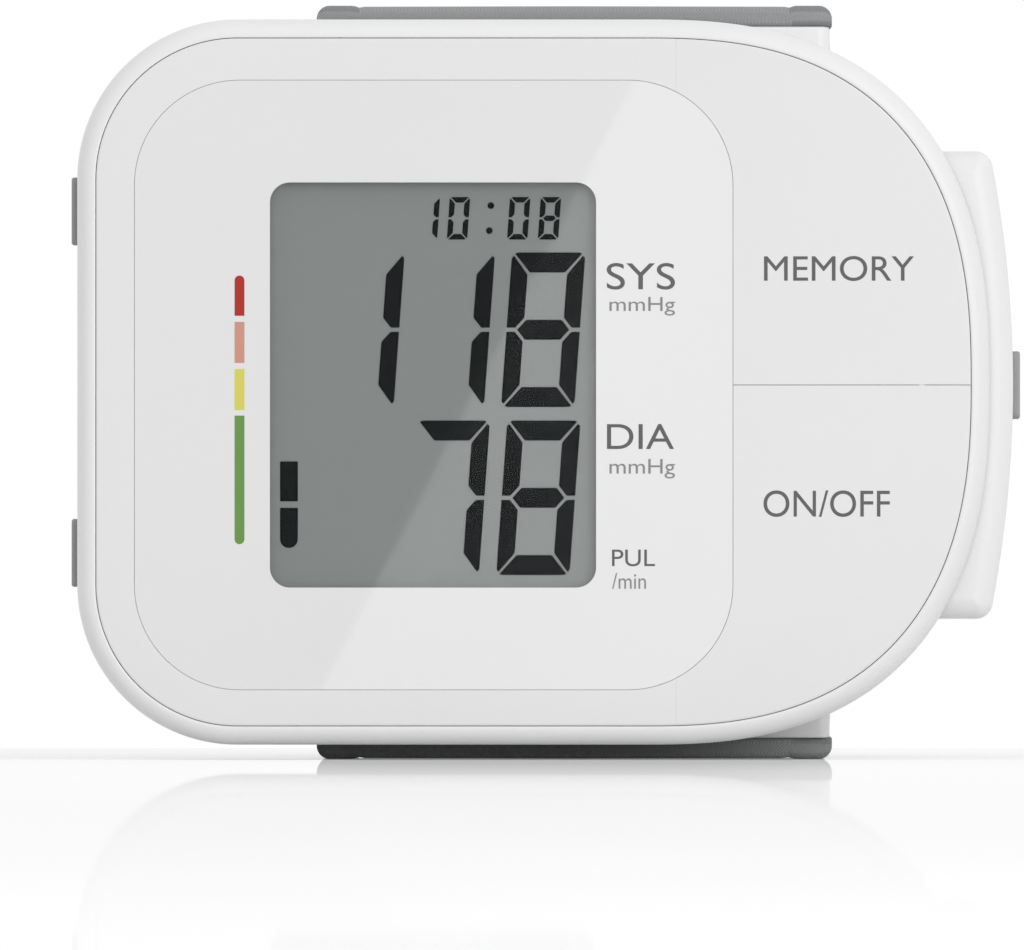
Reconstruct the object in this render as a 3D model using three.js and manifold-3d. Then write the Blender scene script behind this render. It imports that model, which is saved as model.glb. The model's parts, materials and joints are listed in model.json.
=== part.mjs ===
// Wrist blood pressure monitor: a D-shaped housing on a curved saddle, with a padded cuff that closes behind it.
// x runs to the right, y runs back from the face and z runs up from the middle of the housing.
import * as THREE from "three";
import { mergeVertices } from "three/addons/utils/BufferGeometryUtils.js";
import Module from "manifold-3d";

const wasm = await Module();
wasm.setup();

// Fits and making
const clearance = 0.3;
const seam = 0.12;
const overrun = 2;
const mergeTolerance = 1e-4;
const roundSides = 16;
const smallSides = 12;
const cornerSteps = 7;
const bowSteps = 30;
const roundingSteps = 5;

// Housing outline, seen from the front
const housingLeft = -46.9;
const housingHalfHeight = 36.28;
const housingCornerRadius = 16;
const bowCentreX = 9.95;
const bowReach = 34.45;
const bowExponent = 2.55;

// Housing walls and depth
const rimWidth = 1.85;
const rimDrop = 2.4;
const faceThickness = 1.6;
const partingY = 14;
const backWall = 1.6;
const backRound = 4;
const ledgeWidth = 2.6;
const ledgeThickness = 1.2;
const saddleWall = 1.2;
const saddleLeft = -22.8;
const saddleRight = 28.48;
const saddleEdgeRadius = 1.2;
const saddleSkin = 1.4;
const saddleRib = 1.2;
const saddlePockets = 4;
const wingLength = 21.3;
const lipHeight = 1.6;
const lipThickness = 0.9;
const lipRoot = 1.2;

// Lens, window and display
const faceCentreZ = -0.3;
const lensLeft = -41.15;
const lensRight = 18.68;
const lensHalfHeight = 30.47;
const lensCornerRadius = 10.5;
const lensThickness = 0.8;
const lensShelf = 1.8;
const windowCentreX = -11.3;
const windowHalfWidth = 16.3;
const windowHalfHeight = 20.25;
const windowCornerRadius = 2;
const displayMargin = 3;
const displayGap = 0.4;
const displayThickness = 1.8;
const frameWall = 1.4;
const frameLipMargin = 1.2;
const contactStripHeight = 1.8;
const contactStripWidth = 2;
const contactStripInset = 1.6;

// Circuit board and what it carries
const boardThickness = 1;
const boardRight = 33.6;
const boardWallGap = 1.9;
const boardRestWidth = 1.2;
const boardRestReach = 1.2;
const chipSize = 9;
const chipThickness = 1.4;
const chipX = 4;
const chipZ = 22;
const buzzerRadius = 4.5;
const buzzerHeight = 2.6;
const buzzerX = 5;
const buzzerZ = -22;
const sensorSize = 8;
const sensorHeight = 3.5;
const sensorZ = 17.4;

// Keys
const keySplitX = 13;
const keyArmLength = 5;
const keyArmWidth = 2.2;
const keyArmThickness = 1;
const keyArmDrop = 4.18;
const keyLugLength = 2.6;
const switchX = 29;
const switchZ = 14.5;
const switchSize = 6;
const switchHeight = 2.2;
const switchBoreDepth = 1.4;
const switchCornerRadius = 0.5;
const plungerRadius = 1.6;
const plungerInsertion = 0.8;
const plungerTopGap = 0.2;
const keyRibWidth = 1;
const keyRibHeight = 0.5;

// Side buttons
const sideButtonZ = 17.1;
const sideButtonHeight = 6.8;
const sideButtonDepth = 4.5;
const sideButtonProud = 0.6;
const sideFlangeMargin = 0.7;
const sideFlangeThickness = 0.8;
const sideSwitchDepth = 4;
const sideSwitchLength = 3.4;
const sideSwitchHeight = 4.5;
const sidePlungerRadius = 1;
const sidePlungerLength = 0.85;
const sideSwitchBoreDepth = 1.2;

// Battery bay and cells
const cellRadius = 5.25;
const cellLength = 44.5;
const cellClearance = 0.2;
const cellPitch = 10.8;
const outerCellX = 30.9;
const cellNubRadius = 1.9;
const cellNubHeight = 0.8;
const cellShoulder = 0.5;
const bayWall = 0.9;
const bayRidgeHeight = 2;
const bayBoardGap = 0.6;
const contactPlateThickness = 0.4;
const contactPlateShare = 0.8;
const contactBumpRadius = 1.6;
const contactBumpHeight = 0.25;
const springLength = 3.3;
const springTurns = 3;
const springWireRadius = 0.24;
const springBaseRadius = 3.4;
const springTipRadius = 2.3;
const springEndGap = 0.15;
const springLeastGap = 0.4;
const curlSteps = 8;
const curlSides = 5;

// Battery door
const doorInnerX = 38;
const doorCrownX = 46.77;
const doorCrownRadius = 118;
const doorHalfHeight = 23.4;
const doorCornerRadius = 1.7;
const doorFrontStep = 0.6;
const doorBackInset = 0.8;
const doorRound = 2.2;
const doorWall = 1.6;
const doorRibThickness = 1.2;
const doorRibPitch = 9;
const hingeRadius = 1.3;
const hingePinRadius = 0.7;
const hingeLugInset = 2.8;
const hingeLugLength = 8.2;
const hingeSweepRadius = 2.9;
const hingeWebReach = 3.5;
const hingeWebHalf = 0.75;

// Door latch
const latchY = 10.2;
const latchHeight = 6.8;
const latchDepth = 4.5;
const latchProud = 0.73;
const latchFlangeMargin = 0.8;
const latchFlangeThickness = 0.9;
const latchNoseLength = 2.2;
const latchNoseHeight = 3;

// Case screws
const bossRadius = 2.3;
const bossBoreRadius = 1.3;
const screwRadius = 1;
const screwHeadRadius = 1.9;
const screwHeadHeight = 1.2;
const screwLength = 10;
const counterboreRadius = 2.2;
const counterboreDepth = 2.4;
const leftScrewInset = 7.4;
const leftScrewDrop = 7.48;
const rightScrewGap = 0.2;
const rightScrewDrop = 3.79;
const keyTravelRoom = 1.6;
const slotWidth = 0.5;
const slotDepth = 0.5;

// Pump, valve and hoses
const pumpX = -33;
const pumpHalf = 5.6;
const pumpBottomZ = -17;
const motorLength = 15;
const motorRadius = 5;
const pumpHeadLength = 15;
const pumpCoverLength = 3;
const pumpCornerRadius = 1.2;
const pumpGrooveDepth = 0.6;
const airX = -16;
const airGap = 0.5;
const manifoldZ = 2;
const manifoldHalf = 2.6;
const nippleRadius = 0.9;
const nippleLength = 2;
const hoseRadius = 1.6;
const hoseBoreRadius = 1.2;
const hoseBend = 3.2;
const hoseTopZ = 20.5;
const hoseX = -23.8;
const hoseSides = 10;
const hoseSteps = 26;
const hoseGap = 0.4;
const valveRadius = 3.6;
const valveLength = 13;
const valveTopZ = -12;
const cradleThickness = 1.4;
const cradleHeight = 3.4;

// Cuff
const wristHalfDepth = 27;
const wristHalfHeight = 32.7;
const liningThickness = 0.7;
const bladderThickness = 0.7;
const curlThickness = 0.7;
const coverThickness = 2.1;
const coverCornerRadius = 1.3;
const cuffLeft = -23;
const cuffRight = 28.7;
const cuffFrontGap = 1;
const cuffEndRadius = 0.6;
const cuffEndSteps = 3;
const cuffStepDegrees = 5;
const slitDegrees = 4;
const edgeLipWidth = 0.8;
const innerSideGap = 1.4;
const lowerCoverEndDegrees = 18;
const upperLiftStartDegrees = 44;
const upperLiftEndDegrees = 14;
const flapHingeDegrees = 10;
const flapEndDegrees = -56;
const flapThickness = 1.5;
const flapJointGapDegrees = 0.6;
const hookThickness = 0.8;
const hookStartDegrees = -20;
const hookEndDegrees = -52;
const hookMargin = 3;
const inletRadius = 2;
const inletBoreRadius = 1.25;

// Depths worked out from the front to the back
const boardFrontY = lensThickness + displayGap + displayThickness + contactStripHeight;
const boardBackY = boardFrontY + boardThickness;
const bayFrontY = boardBackY + bayBoardGap;
const cellY = bayFrontY + bayWall + cellClearance + cellRadius;
const bayBackY = cellY + cellRadius + cellClearance + bayWall;
const housingBackY = bayBackY + backWall;
const layerStack = liningThickness + bladderThickness + curlThickness + 3 * clearance;
const coverHalfDepth = wristHalfDepth + layerStack;
const coverHalfHeight = wristHalfHeight + layerStack;
const loopCentreY = housingBackY + saddleWall + coverHalfDepth;
const flapOffset = coverThickness + hookThickness + 2 * clearance;
const overallDepth = loopCentreY + coverHalfDepth + flapOffset + flapThickness;
const overallHalfHeight = coverHalfHeight + coverThickness;
const housingInnerLeft = housingLeft + rimWidth;
const sideButtonY = boardBackY + sideSwitchDepth / 2;
const innerCellX = outerCellX - cellPitch;
const contactPlateWidth = 2 * cellRadius * contactPlateShare;
const bayInnerLeft = innerCellX - cellRadius - cellClearance;
const bayHalfInside = cellLength / 2 + contactPlateThickness + (springLength + 2 * springEndGap) / 2
  + contactBumpHeight / 2;
const bayHalfOutside = bayHalfInside + bayWall;
const doorFrontY = rimDrop + doorFrontStep;
const doorBackY = housingBackY - doorBackInset;
const hingeX = doorInnerX + hingeRadius;
const hingeY = doorBackY - hingeRadius;
const hingeLugHalf = doorHalfHeight - hingeLugInset;
const hingeBarrelHalf = hingeLugHalf - hingeLugLength;
const keyArmZ = housingHalfHeight - keyArmDrop;
const leftScrewX = housingLeft + leftScrewInset;
const leftScrewZ = housingHalfHeight - leftScrewDrop;
const rightScrewX = cuffRight + bossRadius + rightScrewGap;
const airY = bayBackY - valveRadius - airGap;
const wingEndY = housingBackY + wingLength;

// Materials
const material = (color, roughness, metalness = 0) => new THREE.MeshStandardMaterial({ color, roughness, metalness });
const whiteShell = () => material(0xe6e6e6, 0.42);
const faceWhite = () => material(0xe2e3e3, 0.3);
const softGrey = () => material(0x8e8f8c, 0.55);
const innerBlack = () => material(0x24262a, 0.6);
const steel = () => material(0xb9bcc0, 0.32, 1);
const cuffFabric = () => material(0x85878a, 0.95);

// Solids: a closed geometry becomes a solid that can be joined and cut
function solidFrom(geometry) {
  const bare = geometry.clone();
  bare.deleteAttribute("normal");
  bare.deleteAttribute("uv");
  const merged = mergeVertices(bare, mergeTolerance);
  return new wasm.Manifold(new wasm.Mesh({
    numProp: 3,
    vertProperties: merged.attributes.position.array,
    triVerts: new Uint32Array(merged.index.array),
  }));
}

const joined = (...solids) => solids.reduce((all, next) => all.add(next));
const cut = (base, ...tools) => tools.reduce((rest, tool) => rest.subtract(tool), base);

// A named mesh with its own material
function part(name, solid, finish) {
  const mesh = solid.getMesh();
  const geometry = new THREE.BufferGeometry();
  geometry.setAttribute("position", new THREE.BufferAttribute(mesh.vertProperties, mesh.numProp));
  geometry.setIndex(new THREE.BufferAttribute(mesh.triVerts, 1));
  geometry.computeVertexNormals();
  const made = new THREE.Mesh(geometry, finish);
  made.name = name;
  return made;
}

// A box between two values on each axis
function block([x0, x1], [y0, y1], [z0, z1]) {
  const geometry = new THREE.BoxGeometry(x1 - x0, y1 - y0, z1 - z0);
  geometry.translate((x0 + x1) / 2, (y0 + y1) / 2, (z0 + z1) / 2);
  return solidFrom(geometry);
}

// A round rod between two points
function rod(radius, from, to, sides = roundSides) {
  const start = new THREE.Vector3(...from);
  const end = new THREE.Vector3(...to);
  const along = end.clone().sub(start);
  const geometry = new THREE.CylinderGeometry(radius, radius, along.length(), sides);
  const turn = new THREE.Quaternion().setFromUnitVectors(new THREE.Vector3(0, 1, 0), along.clone().normalize());
  geometry.applyQuaternion(turn);
  geometry.translate(...start.add(end).multiplyScalar(1 / 2).toArray());
  return solidFrom(geometry);
}

// A flat plate: an outline in x and z, carried from y0 back to y1
function plate(outline, y0, y1) {
  const geometry = new THREE.ExtrudeGeometry(new THREE.Shape(outline), { depth: y1 - y0, bevelEnabled: false });
  geometry.rotateX(Math.PI / 2);
  geometry.translate(0, y1, 0);
  return solidFrom(geometry);
}

// A bar: an outline in y and z, carried from x0 across to x1
function bar(outline, x0, x1) {
  const geometry = new THREE.ExtrudeGeometry(new THREE.Shape(outline), { depth: x1 - x0, bevelEnabled: false });
  const frame = new THREE.Matrix4().makeBasis(
    new THREE.Vector3(0, 1, 0),
    new THREE.Vector3(0, 0, 1),
    new THREE.Vector3(1, 0, 0),
  );
  geometry.applyMatrix4(frame);
  geometry.translate(x0, 0, 0);
  return solidFrom(geometry);
}

// A post: an outline in x and y, carried from z0 up to z1
function post(outline, z0, z1) {
  const geometry = new THREE.ExtrudeGeometry(new THREE.Shape(outline), { depth: z1 - z0, bevelEnabled: false });
  geometry.translate(0, 0, z0);
  return solidFrom(geometry);
}

// A closed skin over rings of equal count, with both end rings capped by the flat outline
function skinned(rings, capOutline) {
  const count = capOutline.length;
  const positions = rings.flat().flatMap((point) => point);
  const cap = THREE.ShapeUtils.triangulateShape(capOutline, []);
  const lastRing = (rings.length - 1) * count;
  const faces = [];
  cap.forEach(([a, b, c]) => faces.push(a, b, c, lastRing + a, lastRing + c, lastRing + b));
  for (let ring = 0; ring < lastRing; ring += count) {
    for (let j = 0; j < count; j++) {
      const next = (j + 1) % count;
      faces.push(ring + j, ring + count + next, ring + next, ring + j, ring + count + j, ring + count + next);
    }
  }
  const geometry = new THREE.BufferGeometry();
  geometry.setAttribute("position", new THREE.BufferAttribute(new Float32Array(positions), 3));
  geometry.setIndex(faces);
  return solidFrom(geometry);
}

// Levels of one outline family, each with its own inset and depth, skinned into a body with rounded edges
function levelled(outlineAt, levels) {
  const rings = levels.map(([inset, y]) => outlineAt(inset).map((p) => [p.x, y, p.y]));
  return skinned(rings, outlineAt(levels[0][0]));
}

// Levels of a rounded front edge, from the flat face back to the full outline
function frontRounding(width, drop, faceY) {
  return Array.from({ length: roundingSteps + 1 }, (_, k) => {
    const angle = (k / roundingSteps) * (Math.PI / 2);
    return [width * (1 - Math.sin(angle)), faceY + drop * (1 - Math.cos(angle))];
  });
}

// Levels of a rounded back edge, from the full outline to the flat back
function backRounding(radius, backY) {
  return Array.from({ length: roundingSteps + 1 }, (_, k) => {
    const angle = (k / roundingSteps) * (Math.PI / 2);
    return [radius * (1 - Math.cos(angle)), backY - radius * (1 - Math.sin(angle))];
  });
}

// Outlines
function arcPoints(centreX, centreZ, radius, fromDegrees, toDegrees, steps = cornerSteps) {
  return Array.from({ length: steps + 1 }, (_, k) => {
    const angle = THREE.MathUtils.degToRad(fromDegrees + ((toDegrees - fromDegrees) * k) / steps);
    return new THREE.Vector2(centreX + radius * Math.cos(angle), centreZ + radius * Math.sin(angle));
  });
}

function roundedRectangle(centreX, centreZ, halfWidth, halfHeight, radius, steps = cornerSteps) {
  const x = halfWidth - radius;
  const z = halfHeight - radius;
  return [
    ...arcPoints(centreX - x, centreZ - z, radius, 180, 270, steps),
    ...arcPoints(centreX + x, centreZ - z, radius, 270, 360, steps),
    ...arcPoints(centreX + x, centreZ + z, radius, 0, 90, steps),
    ...arcPoints(centreX - x, centreZ + z, radius, 90, 180, steps),
  ];
}

// The D outline: rounded left corners, and a right side that bows out as a superellipse
function housingOutline(inset = 0) {
  const radius = housingCornerRadius - inset;
  const halfHeight = housingHalfHeight - inset;
  const cornerX = housingLeft + housingCornerRadius;
  const cornerZ = housingHalfHeight - housingCornerRadius;
  const bow = Array.from({ length: bowSteps + 1 }, (_, k) => {
    const angle = -Math.PI / 2 + (Math.PI * k) / bowSteps;
    const across = Math.max(Math.cos(angle), 0) ** (2 / bowExponent);
    const up = Math.sign(Math.sin(angle)) * Math.abs(Math.sin(angle)) ** (2 / bowExponent);
    return new THREE.Vector2(bowCentreX + (bowReach - inset) * across, halfHeight * up);
  });
  return [
    ...arcPoints(cornerX, -cornerZ, radius, 180, 270),
    ...bow,
    ...arcPoints(cornerX, cornerZ, radius, 90, 180),
  ];
}

// The door outline: a shallow crown on the right between two small corners, cut square on the left
function doorOutline(inset = 0) {
  const halfHeight = doorHalfHeight - inset;
  const radius = Math.max(doorCornerRadius - inset, seam);
  const crown = doorCrownRadius - inset;
  const crownCentreX = doorCrownX - doorCrownRadius;
  const cornerZ = halfHeight - radius;
  const cornerX = crownCentreX + Math.sqrt((crown - radius) ** 2 - cornerZ ** 2);
  const cornerDegrees = THREE.MathUtils.radToDeg(Math.atan2(cornerZ, cornerX - crownCentreX));
  const leftX = doorInnerX - overrun;
  return [
    new THREE.Vector2(leftX, faceCentreZ - halfHeight),
    ...arcPoints(cornerX, faceCentreZ - cornerZ, radius, -90, -cornerDegrees),
    ...arcPoints(crownCentreX, faceCentreZ, crown, -cornerDegrees, cornerDegrees, 2 * cornerSteps).slice(1, -1),
    ...arcPoints(cornerX, faceCentreZ + cornerZ, radius, cornerDegrees, 90),
    new THREE.Vector2(leftX, faceCentreZ + halfHeight),
  ];
}

// The lens sits between two heights round the middle of the face
const lensCentreX = (lensLeft + lensRight) / 2;
const lensHalfWidth = (lensRight - lensLeft) / 2;
const lensOutline = (growth) => roundedRectangle(
  lensCentreX, faceCentreZ, lensHalfWidth + growth, lensHalfHeight + growth, lensCornerRadius + growth);
const windowOutline = (growth) => roundedRectangle(
  windowCentreX, faceCentreZ, windowHalfWidth + growth, windowHalfHeight + growth, windowCornerRadius + growth);
const displayOutline = (growth) => roundedRectangle(
  windowCentreX, faceCentreZ, windowHalfWidth + displayMargin + growth, windowHalfHeight + displayMargin + growth,
  windowCornerRadius / 2 + growth, 2);

// How high the bow reaches at a place along it
const bowHeight = (x) => housingHalfHeight * (1 - ((x - bowCentreX) / bowReach) ** bowExponent) ** (1 / bowExponent);
const rightScrewZ = bowHeight(rightScrewX) - rightScrewDrop;

// Screw places, with where each boss starts behind the face
const screwPlaces = [
  [leftScrewX, leftScrewZ, faceThickness + ledgeThickness / 2],
  [leftScrewX, -leftScrewZ, faceThickness + ledgeThickness / 2],
  [rightScrewX, rightScrewZ, faceThickness + keyTravelRoom],
  [rightScrewX, -rightScrewZ, faceThickness + keyTravelRoom],
];

// Everything that the door, its swing and its hinge need from the housing
function doorRecess() {
  const lowZ = faceCentreZ - doorHalfHeight - clearance;
  const highZ = faceCentreZ + doorHalfHeight + clearance;
  const opening = block(
    [doorInnerX - clearance, doorCrownX + overrun],
    [doorFrontY - clearance, housingBackY + overrun],
    [lowZ, highZ],
  );
  return joined(opening, rod(hingeSweepRadius, [hingeX, hingeY, lowZ], [hingeX, hingeY, highZ], roundSides));
}

// Front shell: rounded rim, side wall, ledge for the face plate, screw bosses and openings in the side walls
function frontShell() {
  const outer = levelled(housingOutline, [...frontRounding(rimWidth, rimDrop, 0), [0, partingY]]);
  const inside = plate(housingOutline(rimWidth), -overrun, partingY + overrun);
  const ledgeRing = plate(housingOutline(rimWidth - seam), faceThickness, faceThickness + ledgeThickness)
    .subtract(plate(housingOutline(rimWidth + ledgeWidth), 0, partingY));
  const ledge = ledgeRing.intersect(block(
    [housingLeft, keySplitX - keyLugLength - clearance],
    [0, partingY],
    [-housingHalfHeight, housingHalfHeight],
  ));
  const body = joined(cut(outer, inside), ledge);
  const envelope = levelled(housingOutline, [[seam, rimDrop], [seam, partingY]]);
  const bosses = screwPlaces.map(([x, z, y]) => rod(bossRadius, [x, y, z], [x, partingY, z]).intersect(envelope));
  const bores = screwPlaces.map(([x, z]) => rod(
    bossBoreRadius, [x, partingY - screwLength, z], [x, partingY + overrun, z], smallSides));
  const buttonHoles = [sideButtonZ, -sideButtonZ].map((z) => block(
    [housingLeft - overrun, housingInnerLeft + overrun],
    [sideButtonY - sideButtonDepth / 2 - clearance, sideButtonY + sideButtonDepth / 2 + clearance],
    [z - sideButtonHeight / 2 - clearance, z + sideButtonHeight / 2 + clearance],
  ));
  return cut(joined(body, boardRests(), ...bosses, ...registerLips()), ...bores, ...buttonHoles, doorRecess());
}

// The room inside the housing's wall and rounded back, kept a gap away from both
function innerRoom(gap) {
  const rounding = backRounding(backRound, bayBackY).map(([inset, y]) => [inset + rimWidth + gap, y]);
  return levelled(housingOutline, [[rimWidth + gap, 0], ...rounding]);
}

// A ring that follows the housing outline between two insets
const outlineRing = (from, to, y0, y1) => cut(
  plate(housingOutline(from), y0, y1), plate(housingOutline(to), y0 - overrun, y1 + overrun));

// Rests on the ledge that carry the edge of the circuit board
function boardRests() {
  const ring = outlineRing(
    rimWidth - seam, rimWidth + boardWallGap + boardRestReach, faceThickness + ledgeThickness - seam, boardFrontY);
  const half = boardRestWidth / 2;
  const upright = [windowCentreX - windowHalfWidth, windowCentreX + windowHalfWidth].map((x) => block(
    [x - half, x + half], [0, partingY], [-housingHalfHeight, housingHalfHeight]));
  const level = [sideButtonZ / 2, -sideButtonZ / 2].map((z) => block(
    [housingLeft, 0], [0, partingY], [z - half, z + half]));
  return ring.intersect(joined(...upright, ...level));
}

// Register lips: they stand past the parting line inside the rear shell's wall, and stop short of its bosses
function registerLips() {
  const lipInset = rimWidth + clearance;
  const root = outlineRing(rimWidth - seam, lipInset + lipThickness, partingY - lipRoot, partingY);
  const lip = outlineRing(lipInset, lipInset + lipThickness, partingY - seam, partingY + lipHeight);
  const bossRoom = screwPlaces.map(([x, z]) => rod(
    bossRadius + clearance, [x, partingY, z], [x, partingY + lipHeight + overrun, z]));
  const leftOfKeys = block(
    [housingLeft, keySplitX], [0, partingY + lipHeight], [-housingHalfHeight, housingHalfHeight]);
  const fittedLip = cut(lip, ...bossRoom).intersect(innerRoom(clearance));
  return [root, fittedLip].map((ring) => ring.intersect(leftOfKeys));
}

// Face plate: the ring round the lens, a shelf that carries it, and two lugs that carry the key arms
function facePlate() {
  const leftOfKeys = block([housingLeft, keySplitX], [0, faceThickness], [-housingHalfHeight, housingHalfHeight]);
  const ring = plate(housingOutline(rimWidth + seam), 0, faceThickness).intersect(leftOfKeys);
  const shelf = plate(lensOutline(0), lensThickness, faceThickness);
  const lugs = [1, -1].map((side) => block(
    [keySplitX - keyLugLength, keySplitX - clearance],
    [faceThickness, faceThickness + keyArmThickness],
    [side * keyArmZ - keyArmWidth / 2, side * keyArmZ + keyArmWidth / 2],
  ));
  const lensOpening = plate(lensOutline(seam), -overrun, lensThickness);
  const displayOpening = plate(lensOutline(-lensShelf), -overrun, faceThickness + overrun);
  return cut(joined(cut(ring, lensOpening), shelf, ...lugs), displayOpening);
}

// Lens panel, with the opening that the window closes
function lensPanel() {
  return cut(plate(lensOutline(0), 0, lensThickness), plate(windowOutline(seam), -overrun, lensThickness + overrun));
}

const displayWindow = () => plate(windowOutline(0), 0, lensThickness);

// Display: the glass panel, the frame that holds it against the window, and two contact strips behind it
const displayFrontY = lensThickness + displayGap;
const displayBackY = displayFrontY + displayThickness;
const lcdPanel = () => plate(displayOutline(0), displayFrontY, displayBackY);

function lcdFrame() {
  return cut(
    plate(displayOutline(frameWall + clearance), lensThickness, boardFrontY),
    plate(windowOutline(frameLipMargin), 0, boardFrontY),
    plate(displayOutline(clearance), displayFrontY, boardFrontY + overrun),
  );
}

function contactStrip(side) {
  const z = faceCentreZ + side * (windowHalfHeight + displayMargin - contactStripInset);
  return block(
    [windowCentreX - windowHalfWidth, windowCentreX + windowHalfWidth],
    [displayBackY, boardFrontY],
    [z - contactStripWidth / 2, z + contactStripWidth / 2],
  );
}

// Key: half of the bowed zone right of the lens, with stiffening ribs and an arm to its hinge
function key(side) {
  const zone = block(
    [keySplitX + seam, bowCentreX + bowReach],
    [0, faceThickness + keyRibHeight],
    side > 0 ? [faceCentreZ + seam / 2, housingHalfHeight] : [-housingHalfHeight, faceCentreZ - seam / 2],
  );
  const outside = plate(housingOutline(rimWidth + seam), 0, faceThickness);
  const skin = cut(outside.intersect(zone), plate(lensOutline(seam), -overrun, faceThickness + overrun));
  const ribZ = [faceCentreZ + side * (keyRibWidth + seam), side * (switchZ + switchSize)];
  const ribs = ribZ.map((z) => block(
    [lensRight + 2 * keyRibWidth, switchX + switchSize],
    [faceThickness - seam, faceThickness + keyRibHeight],
    [z - keyRibWidth / 2, z + keyRibWidth / 2],
  ));
  const arm = block(
    [keySplitX + seam, keySplitX + keyArmLength],
    [faceThickness - seam, faceThickness + keyArmThickness],
    [side * keyArmZ - keyArmWidth / 2, side * keyArmZ + keyArmWidth / 2],
  );
  const trimmedArm = arm.intersect(plate(housingOutline(rimWidth + clearance), 0, partingY));
  return joined(skin, ...ribs, trimmedArm);
}

// Key switch: a square body on the board with a round plunger that stands out of its bore
const switchFrontY = boardFrontY - switchHeight;

function keySwitch(side) {
  const z = side * switchZ;
  const half = switchSize / 2;
  const body = plate(roundedRectangle(switchX, z, half, half, switchCornerRadius, 2), switchFrontY, boardFrontY);
  const bore = rod(plungerRadius + clearance, [switchX, 0, z], [switchX, switchFrontY + switchBoreDepth, z]);
  return cut(body, bore);
}

function keyPlunger(side) {
  const z = side * switchZ;
  return rod(plungerRadius, [switchX, faceThickness + plungerTopGap, z], [switchX, switchFrontY + plungerInsertion, z]);
}

// Circuit board: follows the housing inside, and leaves the screw bosses and the face ledge free
function circuitBoard() {
  const area = plate(housingOutline(rimWidth + boardWallGap), boardFrontY, boardBackY).intersect(block(
    [housingLeft, boardRight], [boardFrontY, boardBackY], [-housingHalfHeight, housingHalfHeight]));
  const notches = screwPlaces.map(([x, z]) => rod(
    bossRadius + clearance, [x, boardFrontY - overrun, z], [x, boardBackY + overrun, z]));
  return cut(area, ...notches);
}

const processorChip = () => block(
  [chipX - chipSize / 2, chipX + chipSize / 2],
  [boardBackY, boardBackY + chipThickness],
  [chipZ - chipSize / 2, chipZ + chipSize / 2],
);

function buzzer() {
  const can = rod(buzzerRadius, [buzzerX, boardBackY, buzzerZ], [buzzerX, boardBackY + buzzerHeight, buzzerZ]);
  const soundHole = rod(
    nippleRadius,
    [buzzerX, boardBackY + buzzerHeight / 2, buzzerZ],
    [buzzerX, boardBackY + buzzerHeight + overrun, buzzerZ],
    smallSides,
  );
  return cut(can, soundHole);
}

function pressureSensor() {
  const topY = boardBackY + sensorHeight;
  const body = block(
    [airX - sensorSize / 2, airX + sensorSize / 2],
    [boardBackY, topY],
    [sensorZ - sensorSize / 2, sensorZ + sensorSize / 2],
  );
  return joined(body, rod(nippleRadius, [airX, boardBackY, sensorZ], [airX, topY + nippleLength, sensorZ], smallSides));
}

// Side button: a tab through the left wall with a flange behind it
function sideButton(side) {
  const z = side * sideButtonZ;
  const flangeX = housingInnerLeft + clearance;
  const tab = bar(
    roundedRectangle(sideButtonY, z, sideButtonDepth / 2, sideButtonHeight / 2, coverCornerRadius / 2, 3),
    housingLeft - sideButtonProud,
    flangeX + seam,
  );
  const flange = block(
    [flangeX, flangeX + sideFlangeThickness],
    [sideButtonY - sideButtonDepth / 2 - sideFlangeMargin, sideButtonY + sideButtonDepth / 2 + sideFlangeMargin],
    [z - sideButtonHeight / 2 - sideFlangeMargin, z + sideButtonHeight / 2 + sideFlangeMargin],
  );
  return joined(tab, flange);
}

const sidePlungerX = housingInnerLeft + clearance + sideFlangeThickness + plungerTopGap;
const sideSwitchX = sidePlungerX + sidePlungerLength;

function sideSwitch(side) {
  const z = side * sideButtonZ;
  const body = block(
    [sideSwitchX, sideSwitchX + sideSwitchLength],
    [boardBackY, boardBackY + sideSwitchDepth],
    [z - sideSwitchHeight / 2, z + sideSwitchHeight / 2],
  );
  const bore = rod(
    sidePlungerRadius + clearance,
    [sideSwitchX - overrun, sideButtonY, z],
    [sideSwitchX + sideSwitchBoreDepth, sideButtonY, z],
    smallSides,
  );
  return cut(body, bore);
}

function sidePlunger(side) {
  const z = side * sideButtonZ;
  const depth = sideSwitchBoreDepth / 2;
  return rod(sidePlungerRadius, [sidePlungerX, sideButtonY, z], [sideSwitchX + depth, sideButtonY, z], smallSides);
}

// Rear shell: tray with a rounded back, saddle wings round the wrist, bosses, bay seat, pump cradle and hinge lugs
function ellipsePoints(halfDepth, halfHeight, fromDegrees, toDegrees, stepDegrees = cuffStepDegrees) {
  const steps = Math.round(Math.abs(toDegrees - fromDegrees) / stepDegrees);
  return Array.from({ length: steps + 1 }, (_, k) => {
    const angle = THREE.MathUtils.degToRad(fromDegrees + ((toDegrees - fromDegrees) * k) / steps);
    return new THREE.Vector2(loopCentreY + halfDepth * Math.cos(angle), halfHeight * Math.sin(angle));
  });
}

function saddleBlock() {
  const plan = roundedRectangle(
    (saddleLeft + saddleRight) / 2,
    (partingY + wingEndY) / 2,
    (saddleRight - saddleLeft) / 2,
    (wingEndY - partingY) / 2,
    saddleEdgeRadius,
    3,
  );
  const wrist = bar(
    ellipsePoints(coverHalfDepth + clearance, coverHalfHeight + clearance, 0, 360).slice(1),
    saddleLeft - overrun,
    saddleRight + overrun,
  );
  return cut(post(plan, -coverHalfHeight, coverHalfHeight), wrist, ...wingPockets());
}

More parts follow.
